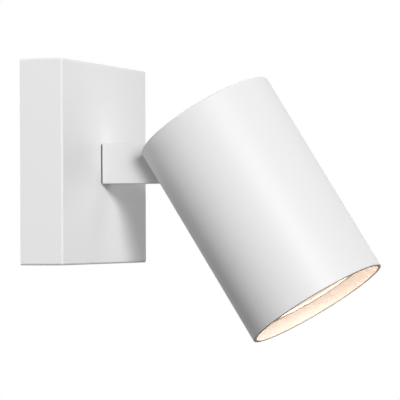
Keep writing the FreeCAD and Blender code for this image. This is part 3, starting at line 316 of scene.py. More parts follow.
# ---- Finishes ----
class Coat:
    """A new material with its Principled shader, and the links that finishes share."""

    def __init__(self, name: str) -> None:
        """Make the material.

        Args:
            name: The material's name.
        """
        self.material = bpy.data.materials.new(name)
        self.material.use_nodes = True
        self.tree = self.material.node_tree
        self.shader = self.tree.nodes["Principled BSDF"]

    def set(self, **values: object) -> None:
        """Set plain values on the shader's sockets, with spaces written as underscores."""
        for name, value in values.items():
            self.shader.inputs[name.replace("_", " ")].default_value = value

    def mix(self, mask: bpy.types.NodeSocket, socket: str) -> bpy.types.Node:
        """Feed one of the shader's sockets with a mix of two colours.

        Args:
            mask: Share of the second colour, from 0 to 1.
            socket: Name of the shader's socket.

        Returns:
            The mix, with its colours A and B still to be set.
        """
        mix = self.tree.nodes.new("ShaderNodeMix")
        mix.data_type = "RGBA"
        self.tree.links.new(mask, mix.inputs["Factor"])
        self.tree.links.new(mix.outputs["Result"], self.shader.inputs[socket])
        return mix

    def blend(self, mask: bpy.types.NodeSocket, low: Rgb, high: Rgb, socket: str = "Base Color") -> None:
        """Let a colour run from one tone to another with a mask.

        Args:
            mask: Value from 0 to 1.
            low: Colour where the mask is low.
            high: Colour where the mask is high.
            socket: The shader's socket that takes the colour.
        """
        mix = self.mix(mask, socket)
        mix.inputs["A"].default_value = opaque(low)
        mix.inputs["B"].default_value = opaque(high)

    def lay_over(self, mask: bpy.types.NodeSocket, tone: Rgb) -> None:
        """Lay one more tone over the base colour.

        Args:
            mask: Where the tone shows, from 0 to 1.
            tone: The tone.
        """
        under = self.shader.inputs["Base Color"].links[0].from_socket
        mix = self.mix(mask, "Base Color")
        mix.inputs["B"].default_value = opaque(tone)
        self.tree.links.new(under, mix.inputs["A"])

    def blend_roughness(self, mask: bpy.types.NodeSocket, low: float, high: float) -> None:
        """Let the roughness run from one value to another with a mask.

        Args:
            mask: Value from 0 to 1.
            low: Roughness where the mask is low.
            high: Roughness where the mask is high.
        """
        spread = self.tree.nodes.new("ShaderNodeMapRange")
        spread.inputs["To Min"].default_value = low
        spread.inputs["To Max"].default_value = high
        self.tree.links.new(mask, spread.inputs["Value"])
        self.tree.links.new(spread.outputs["Result"], self.shader.inputs["Roughness"])

    def bump(self, height: bpy.types.NodeSocket, depth: float) -> None:
        """Feed a height into the shader's normal.

        Args:
            height: The height, from 0 to 1.
            depth: How deep a height of 1 is.
        """
        bump = self.tree.nodes.new("ShaderNodeBump")
        bump.inputs["Distance"].default_value = depth
        self.tree.links.new(height, bump.inputs["Height"])
        self.tree.links.new(bump.outputs["Normal"], self.shader.inputs["Normal"])


@dataclass(frozen=True)
class Finish(ABC):
    """A finish that makes one material."""

    name: str

    @abstractmethod
    def lay(self, coat: Coat, effects: EffectLibrary) -> None:
        """Lay the finish on a plain coat."""

    def make(self, effects: EffectLibrary) -> bpy.types.Material:
        """Build the material.

        Args:
            effects: The shared shader effects.

        Returns:
            The material.
        """
        coat = Coat(self.name)
        self.lay(coat, effects)
        return coat.material


@dataclass(frozen=True)
class Paint(Finish):
    """Satin powder coat."""

    low: Rgb = (0.80, 0.80, 0.80)
    high: Rgb = (0.82, 0.82, 0.82)
    roughness: tuple[float, float] = (0.46, 0.54)
    specular: float = 0.3
    ripple: float = 6e-6

    def lay(self, coat: Coat, effects: EffectLibrary) -> None:
        """Spray the paint.

        Args:
            coat: The plain coat.
            effects: The shared shader effects.
        """
        coat.set(Specular_IOR_Level=self.specular)
        paint = effects.place(coat.tree, Effect.PAINT_SKIN)
        coat.blend(paint.outputs["Drift"], self.low, self.high)
        coat.blend_roughness(paint.outputs["Drift"], *self.roughness)
        coat.bump(paint.outputs["Height"], self.ripple)


@dataclass(frozen=True)
class ShadedRimPaint(Paint):
    """Satin powder coat with a painted shade: a dark band that ends at the rim of the mouth."""

    pivot: Point = PIVOT
    axis: Point = HEAD_AXIS
    rim: float = 73.8 * MM
    band: float = 0.30 * MM
    # colour of the painted shade at the rim
    tone: Rgb = (0.28, 0.21, 0.16)

    def lay(self, coat: Coat, effects: EffectLibrary) -> None:
        """Spray the paint, and paint shade into a band that ends at the rim.

        Args:
            coat: The plain coat.
            effects: The shared shader effects.
        """
        super().lay(coat, effects)
        place = effects.coordinates(coat.tree)
        offset = effects.vector_maths(coat.tree, "SUBTRACT", "Vector", place, self.pivot)
        along = effects.vector_maths(coat.tree, "DOT_PRODUCT", "Value", offset, self.axis)
        fade = coat.tree.nodes.new("ShaderNodeMapRange")
        fade.inputs["From Min"].default_value = self.rim - self.band
        fade.inputs["From Max"].default_value = self.rim - self.band / 2
        coat.tree.links.new(along, fade.inputs["Value"])
        # the painted shade lies over the paint near the rim
        coat.lay_over(fade.outputs["Result"], self.tone)


@dataclass(frozen=True)
class Metal(Finish):
    """Bare or plated metal with fine lines."""

    low: Rgb
    high: Rgb
    roughness: tuple[float, float] = (0.25, 0.42)
    line_scale: float = 900.0
    depth: float = 4e-6

    def lay(self, coat: Coat, effects: EffectLibrary) -> None:
        """Brush the metal.

        Args:
            coat: The plain coat.
            effects: The shared shader effects.
        """
        coat.set(Metallic=1.0)
        lines = effects.place(coat.tree, Effect.BRUSHING, Line_Scale=self.line_scale)
        coat.blend(lines.outputs["Cloud"], self.low, self.high)
        coat.blend_roughness(lines.outputs["Cloud"], *self.roughness)
        coat.bump(lines.outputs["Height"], self.depth)


@dataclass(frozen=True)
class Moulding(Finish):
    """Plastic, ceramic or rubber with a fine grain and specks."""

    body: Rgb
    speck: Rgb
    roughness: tuple[float, float] = (0.4, 0.55)
    grain_scale: float = 1500.0
    depth: float = 5e-6

    def lay(self, coat: Coat, effects: EffectLibrary) -> None:
        """Mould or fire the surface.

        Args:
            coat: The plain coat.
            effects: The shared shader effects.
        """
        grain = effects.place(coat.tree, Effect.SPECKLE, Grain_Scale=self.grain_scale)
        coat.blend(grain.outputs["Specks"], self.body, self.speck)
        coat.blend_roughness(grain.outputs["Height"], *self.roughness)
        coat.bump(grain.outputs["Height"], self.depth)


@dataclass(frozen=True)
class StripedInsulation(Finish):
    """Two-coloured insulation, with a stripe along each side of the lead."""

    ground: Rgb = (0.07, 0.30, 0.04)
    stripe: Rgb = (0.80, 0.62, 0.03)
    stripe_edge: float = 0.35
    roughness: tuple[float, float] = (0.4, 0.55)
    depth: float = 4e-6

    def lay(self, coat: Coat, effects: EffectLibrary) -> None:
        """Colour the ground and the stripes by the way that the surface faces.

        Args:
            coat: The plain coat.
            effects: The shared shader effects.
        """
        tree = coat.tree
        grain = effects.place(tree, Effect.SPECKLE)
        facing = tree.nodes.new("ShaderNodeSeparateXYZ")
        tree.links.new(effects.coordinates(tree, "Normal"), facing.inputs["Vector"])
        sideways = effects.maths(tree, "ADD", facing.outputs["X"], facing.outputs["Z"])
        mask = effects.maths(tree, "LESS_THAN", effects.maths(tree, "ABSOLUTE", sideways), self.stripe_edge)
        coat.blend(mask, self.ground, self.stripe)
        coat.blend_roughness(grain.outputs["Height"], *self.roughness)
        coat.bump(grain.outputs["Height"], self.depth)


@dataclass(frozen=True)
class LitLens(Finish):
    """Frosted lens in front of a lit, warm light source, whitest in its middle."""

    middle: Point
    radius: float
    frost: Rgb = (0.36, 0.35, 0.34)
    roughness: tuple[float, float] = (0.35, 0.5)
    depth: float = 12e-6
    glow: Rgb = (1.0, 0.86, 0.76)
    rim_glow: Rgb = (1.0, 0.82, 0.70)
    strength: float = 0.38

    def lay(self, coat: Coat, effects: EffectLibrary) -> None:
        """Frost the lens and light it.

        Args:
            coat: The plain coat.
            effects: The shared shader effects.
        """
        place = effects.coordinates(coat.tree)
        distance = effects.vector_maths(coat.tree, "DISTANCE", "Value", place, self.middle)
        share = effects.maths(coat.tree, "DIVIDE", distance, self.radius)
        coat.blend(share, self.glow, self.rim_glow, "Emission Color")
        grain = effects.place(coat.tree, Effect.SPECKLE)
        coat.blend_roughness(grain.outputs["Height"], *self.roughness)
        coat.bump(grain.outputs["Height"], self.depth)
        coat.set(Base_Color=opaque(self.frost), Emission_Strength=self.strength)


def finishes() -> dict[Slot, Finish]:
    """List the finish of each material slot, apart from the lit lens.

    Returns:
        Finish by slot.
    """
    return {
        Slot.COVER_PAINT: Paint("cover_powder_coat"),
        # The arm's and head's coats are darker copies of the cover's white paint, a painted shade for the
        # dimmer light on them.
        Slot.ARM_PAINT: Paint("arm_powder_coat", (0.71, 0.71, 0.71), (0.73, 0.73, 0.73)),
        Slot.HEAD_PAINT: ShadedRimPaint("head_powder_coat", (0.755, 0.755, 0.755), (0.775, 0.775, 0.775)),
        Slot.ZINC_STEEL: Metal("zinc_sheet", (0.44, 0.45, 0.47), (0.58, 0.59, 0.60), (0.38, 0.52), 500.0),
        Slot.SCREW_STEEL: Metal("zinc_screws", (0.48, 0.48, 0.50), (0.62, 0.62, 0.62)),
        Slot.BRASS: Metal("plain_brass", (0.60, 0.42, 0.16), (0.74, 0.55, 0.24)),
        Slot.LAMP_BOARD: Metal("board_aluminium", (0.62, 0.62, 0.60), (0.74, 0.74, 0.72)),
        Slot.PIN_STEEL: Metal("nickel_pins", (0.60, 0.60, 0.60), (0.74, 0.74, 0.73), (0.15, 0.3)),
        Slot.BLOCK_PLASTIC: Moulding("block_polyamide", (0.76, 0.74, 0.68), (0.70, 0.67, 0.60)),
        Slot.BLACK_RUBBER: Moulding(
            "grommet_rubber", (0.020, 0.020, 0.021), (0.035, 0.035, 0.035), (0.6, 0.8)
        ),
        Slot.FIBRE: Moulding("washer_fibre", (0.030, 0.028, 0.026), (0.07, 0.06, 0.05), (0.7, 0.9), 900.0),
        Slot.CERAMIC: Moulding("holder_ceramic", (0.78, 0.76, 0.70), (0.62, 0.58, 0.50), (0.5, 0.7), 700.0),
        Slot.LEAD_BROWN: Moulding("brown_insulation", (0.10, 0.035, 0.015), (0.12, 0.045, 0.02)),
        Slot.LEAD_BLUE: Moulding("blue_insulation", (0.02, 0.08, 0.36), (0.03, 0.10, 0.40)),
        Slot.LEAD_STRIPED: StripedInsulation("striped_insulation"),
        Slot.LAMP_PLASTIC: Moulding(
            "lamp_polycarbonate", (0.80, 0.79, 0.76), (0.78, 0.76, 0.73), (0.2, 0.3)
        ),
    }


# ---- Mesh work ----
def full_turn(count: int) -> list[float]:
    """List angles in even steps round a circle, in radians."""
    return [2 * math.pi * step / count for step in range(count)]


def arc(middle: tuple[float, float], radius: float, first: float, last: float, steps: int = 5) -> Profile:
    """Points along an arc of a profile.

    Args:
        middle: Its centre, as (radius, height).
        radius: Its own radius.
        first: First angle in degrees, from the outward direction towards greater height.
        last: Last angle.
        steps: Number of points less one.

    Returns:
        The points, both ends included.
    """
    angles = [math.radians(first + (last - first) * step / steps) for step in range(steps + 1)]
    return [(middle[0] + radius * math.cos(angle), middle[1] + radius * math.sin(angle)) for angle in angles]


def skin(name: str, shape: bmesh.types.BMesh, rings: list[Ring], closed: bool) -> bpy.types.Mesh:
    """Join rings of points, each to the next, into a mesh that is smooth apart from its sharp edges.

    Args:
        name: The mesh's name.
        shape: The points' own mesh, which this uses up.
        rings: Rings with the same number of points, or with a single one.
        closed: True where the last ring joins the first.

    Returns:
        The mesh.
    """
    count = max(len(ring) for ring in rings)
    following = rings[1:] + (rings[:1] if closed else [])
    for low, high in zip(rings, following):
        for step in range(count):
            after = (step + 1) % count
            near, far = low[step % len(low)], low[after % len(low)]
            far_high, near_high = high[after % len(high)], high[step % len(high)]
            shape.faces.new(list(dict.fromkeys((near, far, far_high, near_high))))
    bmesh.ops.recalc_face_normals(shape, faces=shape.faces)
    mesh = bpy.data.meshes.new(name)
    shape.to_mesh(mesh)
    shape.free()
    mesh.shade_smooth()
    mesh.set_sharp_from_angle(angle=math.radians(SHARP_FROM))
    return mesh


@dataclass(frozen=True)
class Lathe:
    """Turns profiles of (radius, height) round an axis, with heights counted from its start."""

    start: Point
    way: Point
    segments: int = 96

    def ring(self, shape: bmesh.types.BMesh, radius: float, height: float) -> Ring:
        """Add one circle of points, or a single point on the axis.

        Args:
            shape: The mesh to add to.
            radius: Distance from the axis.
            height: Distance along it.

        Returns:
            The points in order.
        """
        way = Vector(self.way).normalized()
        side = way.orthogonal().normalized()
        other = way.cross(side)
        middle = Vector(self.start) + way * height
        if radius == 0:
            return [shape.verts.new(middle)]
        return [
            shape.verts.new(middle + (side * math.cos(turn) + other * math.sin(turn)) * radius)
            for turn in full_turn(self.segments)
        ]

    def turn(self, name: str, profile: Profile, closed: bool) -> bpy.types.Mesh:
        """Turn a profile into a closed mesh.

        Args:
            name: The mesh's name.
            profile: Its points in order.
            closed: True for a ring, whose last point joins its first. False where both ends are on the axis.

        Returns:
            The mesh, smooth apart from its sharp edges.
        """
        shape = bmesh.new()
        rings = [self.ring(shape, radius, height) for radius, height in profile]
        return skin(name, shape, rings, closed)


@dataclass
class Workshop:
    """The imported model, and the effects and materials that its sub-assemblies share."""

    frame: dict
    effects: EffectLibrary
    materials: dict[Slot, bpy.types.Material]

    def coat(self, mesh: bpy.types.Mesh, slot: Slot) -> None:
        """Give a mesh one finish all over.

        Args:
            mesh: The mesh.
            slot: The finish's slot.
        """
        mesh.materials.clear()
        mesh.materials.append(self.materials[slot])
        for face in mesh.polygons:
            face.material_index = 0

    def dress(self, slot: Slot, *nodes: str) -> None:
        """Give carried-over pieces their finish.

        Args:
            slot: The finish's slot.
            *nodes: Names of the pieces.
        """
        for node in nodes:
            self.coat(self.frame["nodes"][node].data, slot)
            LOG.info("%s: %s", node, self.materials[slot].name)

    def make(self, mesh: bpy.types.Mesh, slot: Slot) -> bpy.types.Object:
        """Make a piece from a mesh, with one finish all over."""
        self.coat(mesh, slot)
        return link(bpy.data.objects.new(mesh.name, mesh))

    def add(self, mesh: bpy.types.Mesh, body: str, slot: Slot, replaced: str) -> bpy.types.Object:
        """Add a rigid piece built here.

        Args:
            mesh: Its shape, in the model's own frame.
            body: The body it moves with.
            slot: The finish's slot.
            replaced: Name of the piece it stands for.

        Returns:
            The piece.
        """
        piece = self.make(mesh, slot)
        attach(piece, body)
        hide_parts(replaced)
        LOG.info("%s: built, %s", mesh.name, self.materials[slot].name)
        return piece

    def bend(
        self,
        mesh: bpy.types.Mesh,
        bodies: tuple[str, str],
        reach: tuple[Point, Point],
        slot: Slot,
        replaced: str,
    ) -> bpy.types.Object:
        """Add a piece that runs between two bodies and is fixed to neither.

        Args:
            mesh: Its shape, in the model's own frame.
            bodies: The bodies at its first and last ends, which are named in the log.
            reach: The lead's two ends; not used.
            slot: The finish's slot.
            replaced: Name of the piece it stands for.

        Returns:
            The piece.
        """
        piece = self.make(mesh, slot)
        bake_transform(piece)
        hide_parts(replaced)
        LOG.info("%s: bends from %s to %s, %s", mesh.name, *bodies, self.materials[slot].name)
        return piece


# ---- Sub-assemblies ----
@dataclass
class Backplate:
    """Box-shaped cover over the wall bracket, with the swivel's seat and the cable's bush."""

    shop: Workshop
    hole_drop: float = 24.0 * MM
    neck_radius: float = 6.45 * MM
    neck_length: float = 1.5 * MM
    bore_radius: float = 4.5 * MM
    flange_radius: float = 9.0 * MM
    flange_end: float = 4.0 * MM
    lip_radius: float = 0.7 * MM

    def build_grommet(self) -> bpy.types.Object:
        """Turn the rubber bush, with rounded lips at both of its ends.

        Returns:
            The bush.
        """
        lip = self.lip_radius
        bore = self.bore_radius + lip
        rim = self.flange_radius - lip
        profile = arc((bore, lip), lip, 180, 270)
        profile += [(self.neck_radius, 0.0), (self.neck_radius, self.neck_length)]
        profile += arc((rim, self.neck_length + lip), lip, -90, 0)
        profile += arc((rim, self.flange_end - lip), lip, 0, 90)
        profile += arc((bore, self.flange_end - lip), lip, 90, 180)
        mesh = Lathe((0, 0, -self.hole_drop), (0, -1, 0)).turn("rubber_bush", profile, closed=True)
        return self.shop.add(mesh, "base", Slot.BLACK_RUBBER, "cable_grommet")

    def build(self) -> None:
        """Build and dress the backplate."""
        self.shop.dress(Slot.COVER_PAINT, "backplate_cover")
        self.shop.dress(Slot.ZINC_STEEL, "swivel_plate", "wall_bracket")
        self.shop.dress(Slot.SCREW_STEEL, "cover_screws")
        self.build_grommet()


@dataclass
class Wiring:
    """Terminal block, earth point, and the leads, which pass the swivel and the tilt."""

    shop: Workshop
    radius: float = 0.9 * MM
    spread: float = 2.0 / math.sqrt(3.0) * MM       # from the swivel axis to each lead's own axis
    stud_end: float = -10.6 * MM
    split: float = -55.0 * MM
    rings: int = 45
    segments: int = 24
    bend_start: Point = (0.0, -61.0 * MM, -9.0 * MM)
    bend_end: Point = (0.0, -80.0 * MM, -18.0 * MM)

    def twist_lead(self, kind: str, turn: float, slot: Slot) -> bpy.types.Object:
        """Draw the straight stretch of a lead, which runs through the swivel.

        Args:
            kind: Live, neutral or earth.
            turn: Where it lies round the swivel axis, in degrees from straight up.
            slot: The finish's slot.

        Returns:
            The lead.
        """
        length = self.stud_end - self.split
        heights = [length * step / (self.rings - 1) for step in range(self.rings)]
        profile = [(0.0, 0.0)] + [(self.radius, height) for height in heights] + [(0.0, length)]
        angle = math.radians(turn)
        lathe = Lathe(
            (self.spread * math.sin(angle), self.stud_end, self.spread * math.cos(angle)),
            (0, -1, 0),
            self.segments,
        )
        mesh = lathe.turn(f"twisting_{kind}_lead", profile, closed=False)
        reach = ((0.0, self.stud_end, 0.0), (0.0, self.split, 0.0))
        return self.shop.bend(mesh, ("base", "arm"), reach, slot, f"arm_{kind}_lead")

    def slacken_lead(self, kind: str, slot: Slot) -> bpy.types.Object:
        """Copy a lead's loop where it hangs between the arm's window and the lampholder.

        Args:
            kind: Live, neutral or earth.
            slot: The finish's slot.

        Returns:
            The lead.
        """
        node = f"head_{kind}_lead"
        mesh = self.shop.frame["nodes"][node].data.copy()
        mesh.name = f"slack_{kind}_lead"
        return self.shop.bend(mesh, ("arm", "head"), (self.bend_start, self.bend_end), slot, node)

    def build(self) -> None:
        """Dress the wiring and hang the leads."""
        self.shop.dress(Slot.BLOCK_PLASTIC, "terminal_block")
        self.shop.dress(Slot.BRASS, "terminal_clamps", "earth_ring")
        self.shop.dress(Slot.SCREW_STEEL, "terminal_screws", "block_screws", "earth_screw")
        self.shop.dress(Slot.LEAD_STRIPED, "bracket_earth_lead")
        for kind, turn, slot in (
            ("live", -120.0, Slot.LEAD_BROWN),
            ("neutral", 0.0, Slot.LEAD_BLUE),
            ("earth", 120.0, Slot.LEAD_STRIPED),
        ):
            self.shop.dress(slot, f"block_{kind}_lead")
            self.twist_lead(kind, turn, slot)
            self.slacken_lead(kind, slot)


@dataclass
class Arm:
    """Flat bar on its hollow stud, with the washers and the nut of the swivel."""

    shop: Workshop
    cover_front: float = -20.0 * MM
    # the pad reaches nearly to the arm's outline, so its dark face is also the gap's painted shadow
    pad_thickness: float = 0.7 * MM
    pad_width: float = 12.6 * MM
    pad_height: float = 17.6 * MM
    pad_hole_radius: float = 4.06 * MM
    pad_bevel: float = 0.1 * MM
    pad_points: int = 96
    least_share: float = 1e-9       # keeps a ray along one of the pad's own axes from dividing by zero

    def pad_ring(self, shape: bmesh.types.BMesh, inset: float, depth: float) -> Ring:
        """Add the pad's outline at one depth.

        Args:
            shape: The mesh to add to.
            inset: How far the outline is drawn in.
            depth: Distance in front of the cover.

        Returns:
            The points in order.
        """
        points = []
        for turn in full_turn(self.pad_points):
            across, up = math.cos(turn), math.sin(turn)
            sideways = (self.pad_width / 2 - inset) / max(abs(across), self.least_share)
            upwards = (self.pad_height / 2 - inset) / max(abs(up), self.least_share)
            reach = min(sideways, upwards)
            points.append(shape.verts.new((across * reach, self.cover_front - depth, up * reach)))
        return points

    def hole_ring(self, shape: bmesh.types.BMesh, depth: float) -> Ring:
        """Add the circle of the pad's hole at one depth.

        Args:
            shape: The mesh to add to.
            depth: Distance in front of the cover.

        Returns:
            The points in order.
        """
        radius, y = self.pad_hole_radius, self.cover_front - depth
        return [
            shape.verts.new((radius * math.cos(turn), y, radius * math.sin(turn)))
            for turn in full_turn(self.pad_points)
        ]

    def build_pad(self) -> bpy.types.Object:
        """Cut the thin dark pad between the cover and the arm, with bevelled edges and a hole for the stud;
        it is a spacer, and its dark face also stands in, as painted shade, for the shadow in the gap.

        Returns:
            The pad.
        """
        shape = bmesh.new()
        thick, bevel = self.pad_thickness, self.pad_bevel
        rings = [
            self.pad_ring(shape, bevel, 0.0),
            self.pad_ring(shape, 0.0, bevel),
            self.pad_ring(shape, 0.0, thick - bevel),
            self.pad_ring(shape, bevel, thick),
            self.hole_ring(shape, thick),
            self.hole_ring(shape, 0.0),
        ]
        return self.shop.add(skin("gap_pad", shape, rings, closed=True), "arm", Slot.FIBRE, "gap_washer")

    def build(self) -> None:
        """Build and dress the arm and the swivel."""
        self.shop.dress(Slot.ARM_PAINT, "arm")
        self.build_pad()
        self.shop.dress(Slot.SCREW_STEEL, "swivel_stud", "stop_washer", "spring_washer", "swivel_nut")


@dataclass
class Head:
    """Round shade with its tilt hinge and the lampholder inside."""

    shop: Workshop
    pivot: Point = PIVOT
    washer_seat: float = 6.52 * MM
    washer_thickness: float = 0.46 * MM
    washer_radius: float = 7.0 * MM
    washer_bore: float = 2.56 * MM
    washer_edge: float = 0.12 * MM
    edge_steps: int = 3

    def build_washer(self, name: str, side: int) -> bpy.types.Object:
        """Turn one friction washer, with rounded edges.

        Args:
            name: The piece's name.
            side: -1 for the left of the arm, 1 for its right.

        Returns:
            The washer.
        """
        edge, steps = self.washer_edge, self.edge_steps
        rim, bore = self.washer_radius - edge, self.washer_bore + edge
        low, high = edge, self.washer_thickness - edge
        profile = arc((rim, low), edge, -90, 0, steps) + arc((rim, high), edge, 0, 90, steps)
        profile += arc((bore, high), edge, 90, 180, steps) + arc((bore, low), edge, 180, 270, steps)
        start = Vector(self.pivot) + Vector((side * self.washer_seat, 0, 0))
        mesh = Lathe(tuple(start), (side, 0, 0)).turn(name, profile, closed=True)
        return self.shop.add(mesh, "head", Slot.FIBRE, "friction_washers")

    def build(self) -> None:
        """Build and dress the head."""
        self.shop.dress(Slot.HEAD_PAINT, "head_tube", "head_cap")
        self.shop.dress(Slot.ZINC_STEEL, "hinge_plate")
        self.shop.dress(Slot.SCREW_STEEL, "hinge_plate_screws", "pivot_bolt", "pivot_spring_washer")
        self.shop.dress(Slot.SCREW_STEEL, "pivot_nut", "holder_screws")
        self.build_washer("left_friction_washer", -1)
        self.build_washer("right_friction_washer", 1)
        self.shop.dress(Slot.CERAMIC, "lampholder")
        self.shop.dress(Slot.BRASS, "holder_contacts", "earth_tag")


@dataclass
class Lamp:
    """Reflector lamp with a ribbed, frosted lens. Heights are counted from the pivot towards the mouth."""

    shop: Workshop
    pivot: Point = PIVOT
    axis: Point = HEAD_AXIS
    lens_back: float = 65.7 * MM
    lens_front: float = 67.7 * MM
    lens_radius: float = 22.75 * MM
    lens_edge: float = 0.5 * MM
    lens_margin: float = 1.2 * MM
    dish_radius: float = 5.2 * MM
    dish_depth: float = 0.35 * MM
    rib_count: int = 12
    rib_depth: float = 0.30 * MM
    rib_steps: int = 4
    shine_gap: float = 4.0 * MM
    shine_size: float = 1.0 * MM
    shine_colour: Rgb = (1.0, 0.77, 0.60)
    shine_power: float = 0.037

    def on_axis(self, height: float) -> Vector:
        """Find the place on the lamp's axis at a height."""
        return Vector(self.pivot) + Vector(self.axis) * height

    def lens_profile(self) -> Profile:
        """Outline half a section through the lens, from the middle of its back to the middle of its front.

        Returns:
            The outline's points.
        """
        edge = self.lens_edge
        outer = self.lens_radius - edge - self.lens_margin
        pitch = (outer - self.dish_radius) / self.rib_count
        profile = [(0.0, self.lens_back), (self.lens_radius, self.lens_back)]
        profile += arc((self.lens_radius - edge, self.lens_front - edge), edge, 0, 90)
        for step in range(self.rib_count * self.rib_steps + 1):
            share = step / self.rib_steps
            rise = abs(math.sin(math.pi * share))
            profile.append((outer - pitch * share, self.lens_front - self.rib_depth * (1 - rise)))
        for step in range(1, self.rib_steps + 1):
            share = 1 - step / self.rib_steps
            sink = self.rib_depth + self.dish_depth * (1 - share * share)
            profile.append((self.dish_radius * share, self.lens_front - sink))
        return profile

    def build_lens(self) -> bpy.types.Object:
        """Turn the lens, with rings of ribs round a shallow dish."""
        mesh = Lathe(self.pivot, self.axis).turn("ribbed_lens", self.lens_profile(), closed=False)
        return self.shop.add(mesh, "lamp", Slot.LAMP_LENS, "lamp_lens")

    def lens_finish(self) -> LitLens:
        """Work out the lens's finish from where the lens is."""
        return LitLens("lit_frosted_lens", tuple(self.on_axis(self.lens_front)), self.lens_radius)

    def shine(self) -> bpy.types.Object:
        """Light the inside of the mouth warmly, from just in front of the lens.

        Returns:
            The light.
        """
        data = bpy.data.lights.new("lamp_shine", "POINT")
        data.color = self.shine_colour
        data.energy = self.shine_power
        data.shadow_soft_size = self.shine_size
        light = link(bpy.data.objects.new("lamp_shine", data))
        light.location = self.on_axis(self.lens_front + self.shine_gap)
        light.visible_camera = False
        light.visible_glossy = False
        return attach(light, "lamp")

    def build(self) -> None:
        """Build, dress and light the lamp."""
        self.shop.materials[Slot.LAMP_LENS] = self.lens_finish().make(self.shop.effects)
        self.build_lens()
        self.shine()
        self.shop.dress(Slot.LAMP_PLASTIC, "lamp_housing", "lamp_base")
        self.shop.dress(Slot.LAMP_BOARD, "lamp_board")
        self.shop.dress(Slot.PIN_STEEL, "lamp_pins")


# ---- Studio ----
@dataclass(frozen=True)
class Camera:
    """The photograph's viewpoint. Angles are in degrees, and the shifts lie in the picture's plane."""

    azimuth: float = -71.056
    elevation: float = -0.697
    roll: float = -0.244
    distance: float = 1.170201
    target: Point = (0.0, -0.060, 0.0)
    shift_right: float = 0.004456
    shift_up: float = -0.016518
    focal_px: float = 2619.8
    frame_px: float = 400.0
    sensor_mm: float = 36.0

    def place(self) -> bpy.types.Object:
        """Create the camera and make it the scene's.

        Returns:
            The camera.
        """
        back = direction(self.azimuth, self.elevation)
        right = Vector((0, 0, 1)).cross(back).normalized()
        up = back.cross(right)
        target = Vector(self.target) + right * self.shift_right + up * self.shift_up
        roll = math.radians(self.roll)
        rolled_right = right * math.cos(roll) + up * math.sin(roll)
        rolled_up = up * math.cos(roll) - right * math.sin(roll)
        data = bpy.data.cameras.new("camera")
        data.sensor_width = self.sensor_mm
        data.lens = self.focal_px / self.frame_px * self.sensor_mm
        camera = link(bpy.data.objects.new("camera", data))
        turn = Matrix((rolled_right, rolled_up, back)).transposed().to_4x4()
        camera.matrix_world = Matrix.Translation(target + back * self.distance) @ turn
        bpy.context.scene.camera = camera
        return camera


@dataclass(frozen=True)
class Softbox:
    """A square area lamp that faces the object's middle."""

    name: str
    azimuth: float
    elevation: float
    power: float
    size: float = 0.6
    distance: float = 1.6
    aim: Point = (0.0, -0.07, -0.01)

    def place(self) -> bpy.types.Object:
        """Create the lamp.

        Returns:
            The lamp.
        """
        way = direction(self.azimuth, self.elevation)
        data = bpy.data.lights.new(self.name, "AREA")
        data.shape = "SQUARE"
        data.size = self.size
        data.energy = self.power
        lamp = link(bpy.data.objects.new(self.name, data))
        lamp.location = Vector(self.aim) + way * self.distance
        lamp.rotation_euler = way.to_track_quat("Z", "Y").to_euler()
        return lamp


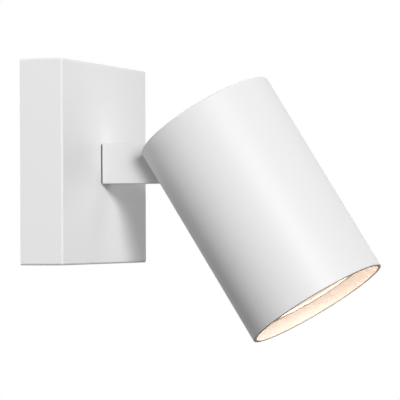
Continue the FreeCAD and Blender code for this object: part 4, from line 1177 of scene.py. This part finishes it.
@dataclass
class Studio:
    """Pale floor, even world light and softboxes."""

    world_level: float = 0.01
    floor_drop: float = 1.4
    floor_size: float = 8.0
    floor_tone: float = 0.35
    floor_roughness: float = 0.9
    softboxes: tuple[Softbox, ...] = (
        Softbox("key_left", -53.0, 19.0, 25.0, size=0.4),
        Softbox("side_left", -120.0, 0.0, 2.3),
        Softbox("behind_left", -150.0, 30.0, 5.5),
        Softbox("fill_right", 60.0, 0.0, 4.6, size=1.0),
        Softbox("high_right", 60.0, 60.0, 9.4, size=1.0),
    )

    def seen_directly(self, tree: bpy.types.NodeTree) -> bpy.types.NodeSocket:
        """Tell the rays that see the white background: from the camera, in gloss and through glass.

        Args:
            tree: Where to add the nodes.

        Returns:
            1 for such a ray, and 0 for the others.
        """
        path = tree.nodes.new("ShaderNodeLightPath").outputs
        seen = EffectLibrary.maths(tree, "MAXIMUM", path["Is Camera Ray"], path["Is Glossy Ray"])
        return EffectLibrary.maths(tree, "MAXIMUM", seen, path["Is Transmission Ray"])

    def light_world(self) -> None:
        """White where it is seen, and a plain grey light on the object."""
        world = bpy.data.worlds.new("studio")
        bpy.context.scene.world = world
        world.use_nodes = True
        tree = world.node_tree
        background = tree.nodes["Background"]
        background.inputs["Color"].default_value = opaque(WHITE)
        level = tree.nodes.new("ShaderNodeMapRange")
        level.inputs["To Min"].default_value = self.world_level
        level.inputs["To Max"].default_value = 1.0
        tree.links.new(self.seen_directly(tree), level.inputs["Value"])
        tree.links.new(level.outputs["Result"], background.inputs["Strength"])

    def lay_floor(self) -> bpy.types.Object:
        """Lay the floor under the object, white where it is seen.

        Returns:
            The floor.
        """
        half = self.floor_size / 2
        outline = [(-half, -half, 0), (half, -half, 0), (half, half, 0), (-half, half, 0)]
        mesh = bpy.data.meshes.new("floor")
        mesh.from_pydata(outline, [], [(0, 1, 2, 3)])
        floor = link(bpy.data.objects.new("floor", mesh))
        floor.location = (0, 0, -self.floor_drop)
        coat = Coat("floor")
        tone = self.floor_tone
        coat.set(Base_Color=opaque((tone, tone, tone)), Roughness=self.floor_roughness)
        glow = coat.tree.nodes.new("ShaderNodeEmission")
        mix = coat.tree.nodes.new("ShaderNodeMixShader")
        coat.tree.links.new(self.seen_directly(coat.tree), mix.inputs["Fac"])
        coat.tree.links.new(coat.shader.outputs["BSDF"], mix.inputs[1])
        coat.tree.links.new(glow.outputs["Emission"], mix.inputs[2])
        coat.tree.links.new(mix.outputs["Shader"], coat.tree.nodes["Material Output"].inputs["Surface"])
        mesh.materials.append(coat.material)
        return floor

    def build(self) -> None:
        """Set up the whole studio."""
        self.light_world()
        self.lay_floor()
        for softbox in self.softboxes:
            softbox.place()
        bpy.context.scene.view_settings.view_transform = "Standard"
        LOG.info("studio: floor, world and %d softboxes", len(self.softboxes))


def main() -> None:
    """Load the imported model, build and dress its sub-assemblies and light it."""
    logging.basicConfig(level=logging.INFO, format="%(name)s: %(message)s")
    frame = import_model()
    Camera().place()
    Studio().build()
    effects = EffectLibrary()
    materials = {slot: finish.make(effects) for slot, finish in finishes().items()}
    shop = Workshop(frame, effects, materials)
    for assembly in (Backplate(shop), Wiring(shop), Arm(shop), Head(shop), Lamp(shop)):
        assembly.build()


if __name__ == "__main__":
    main()
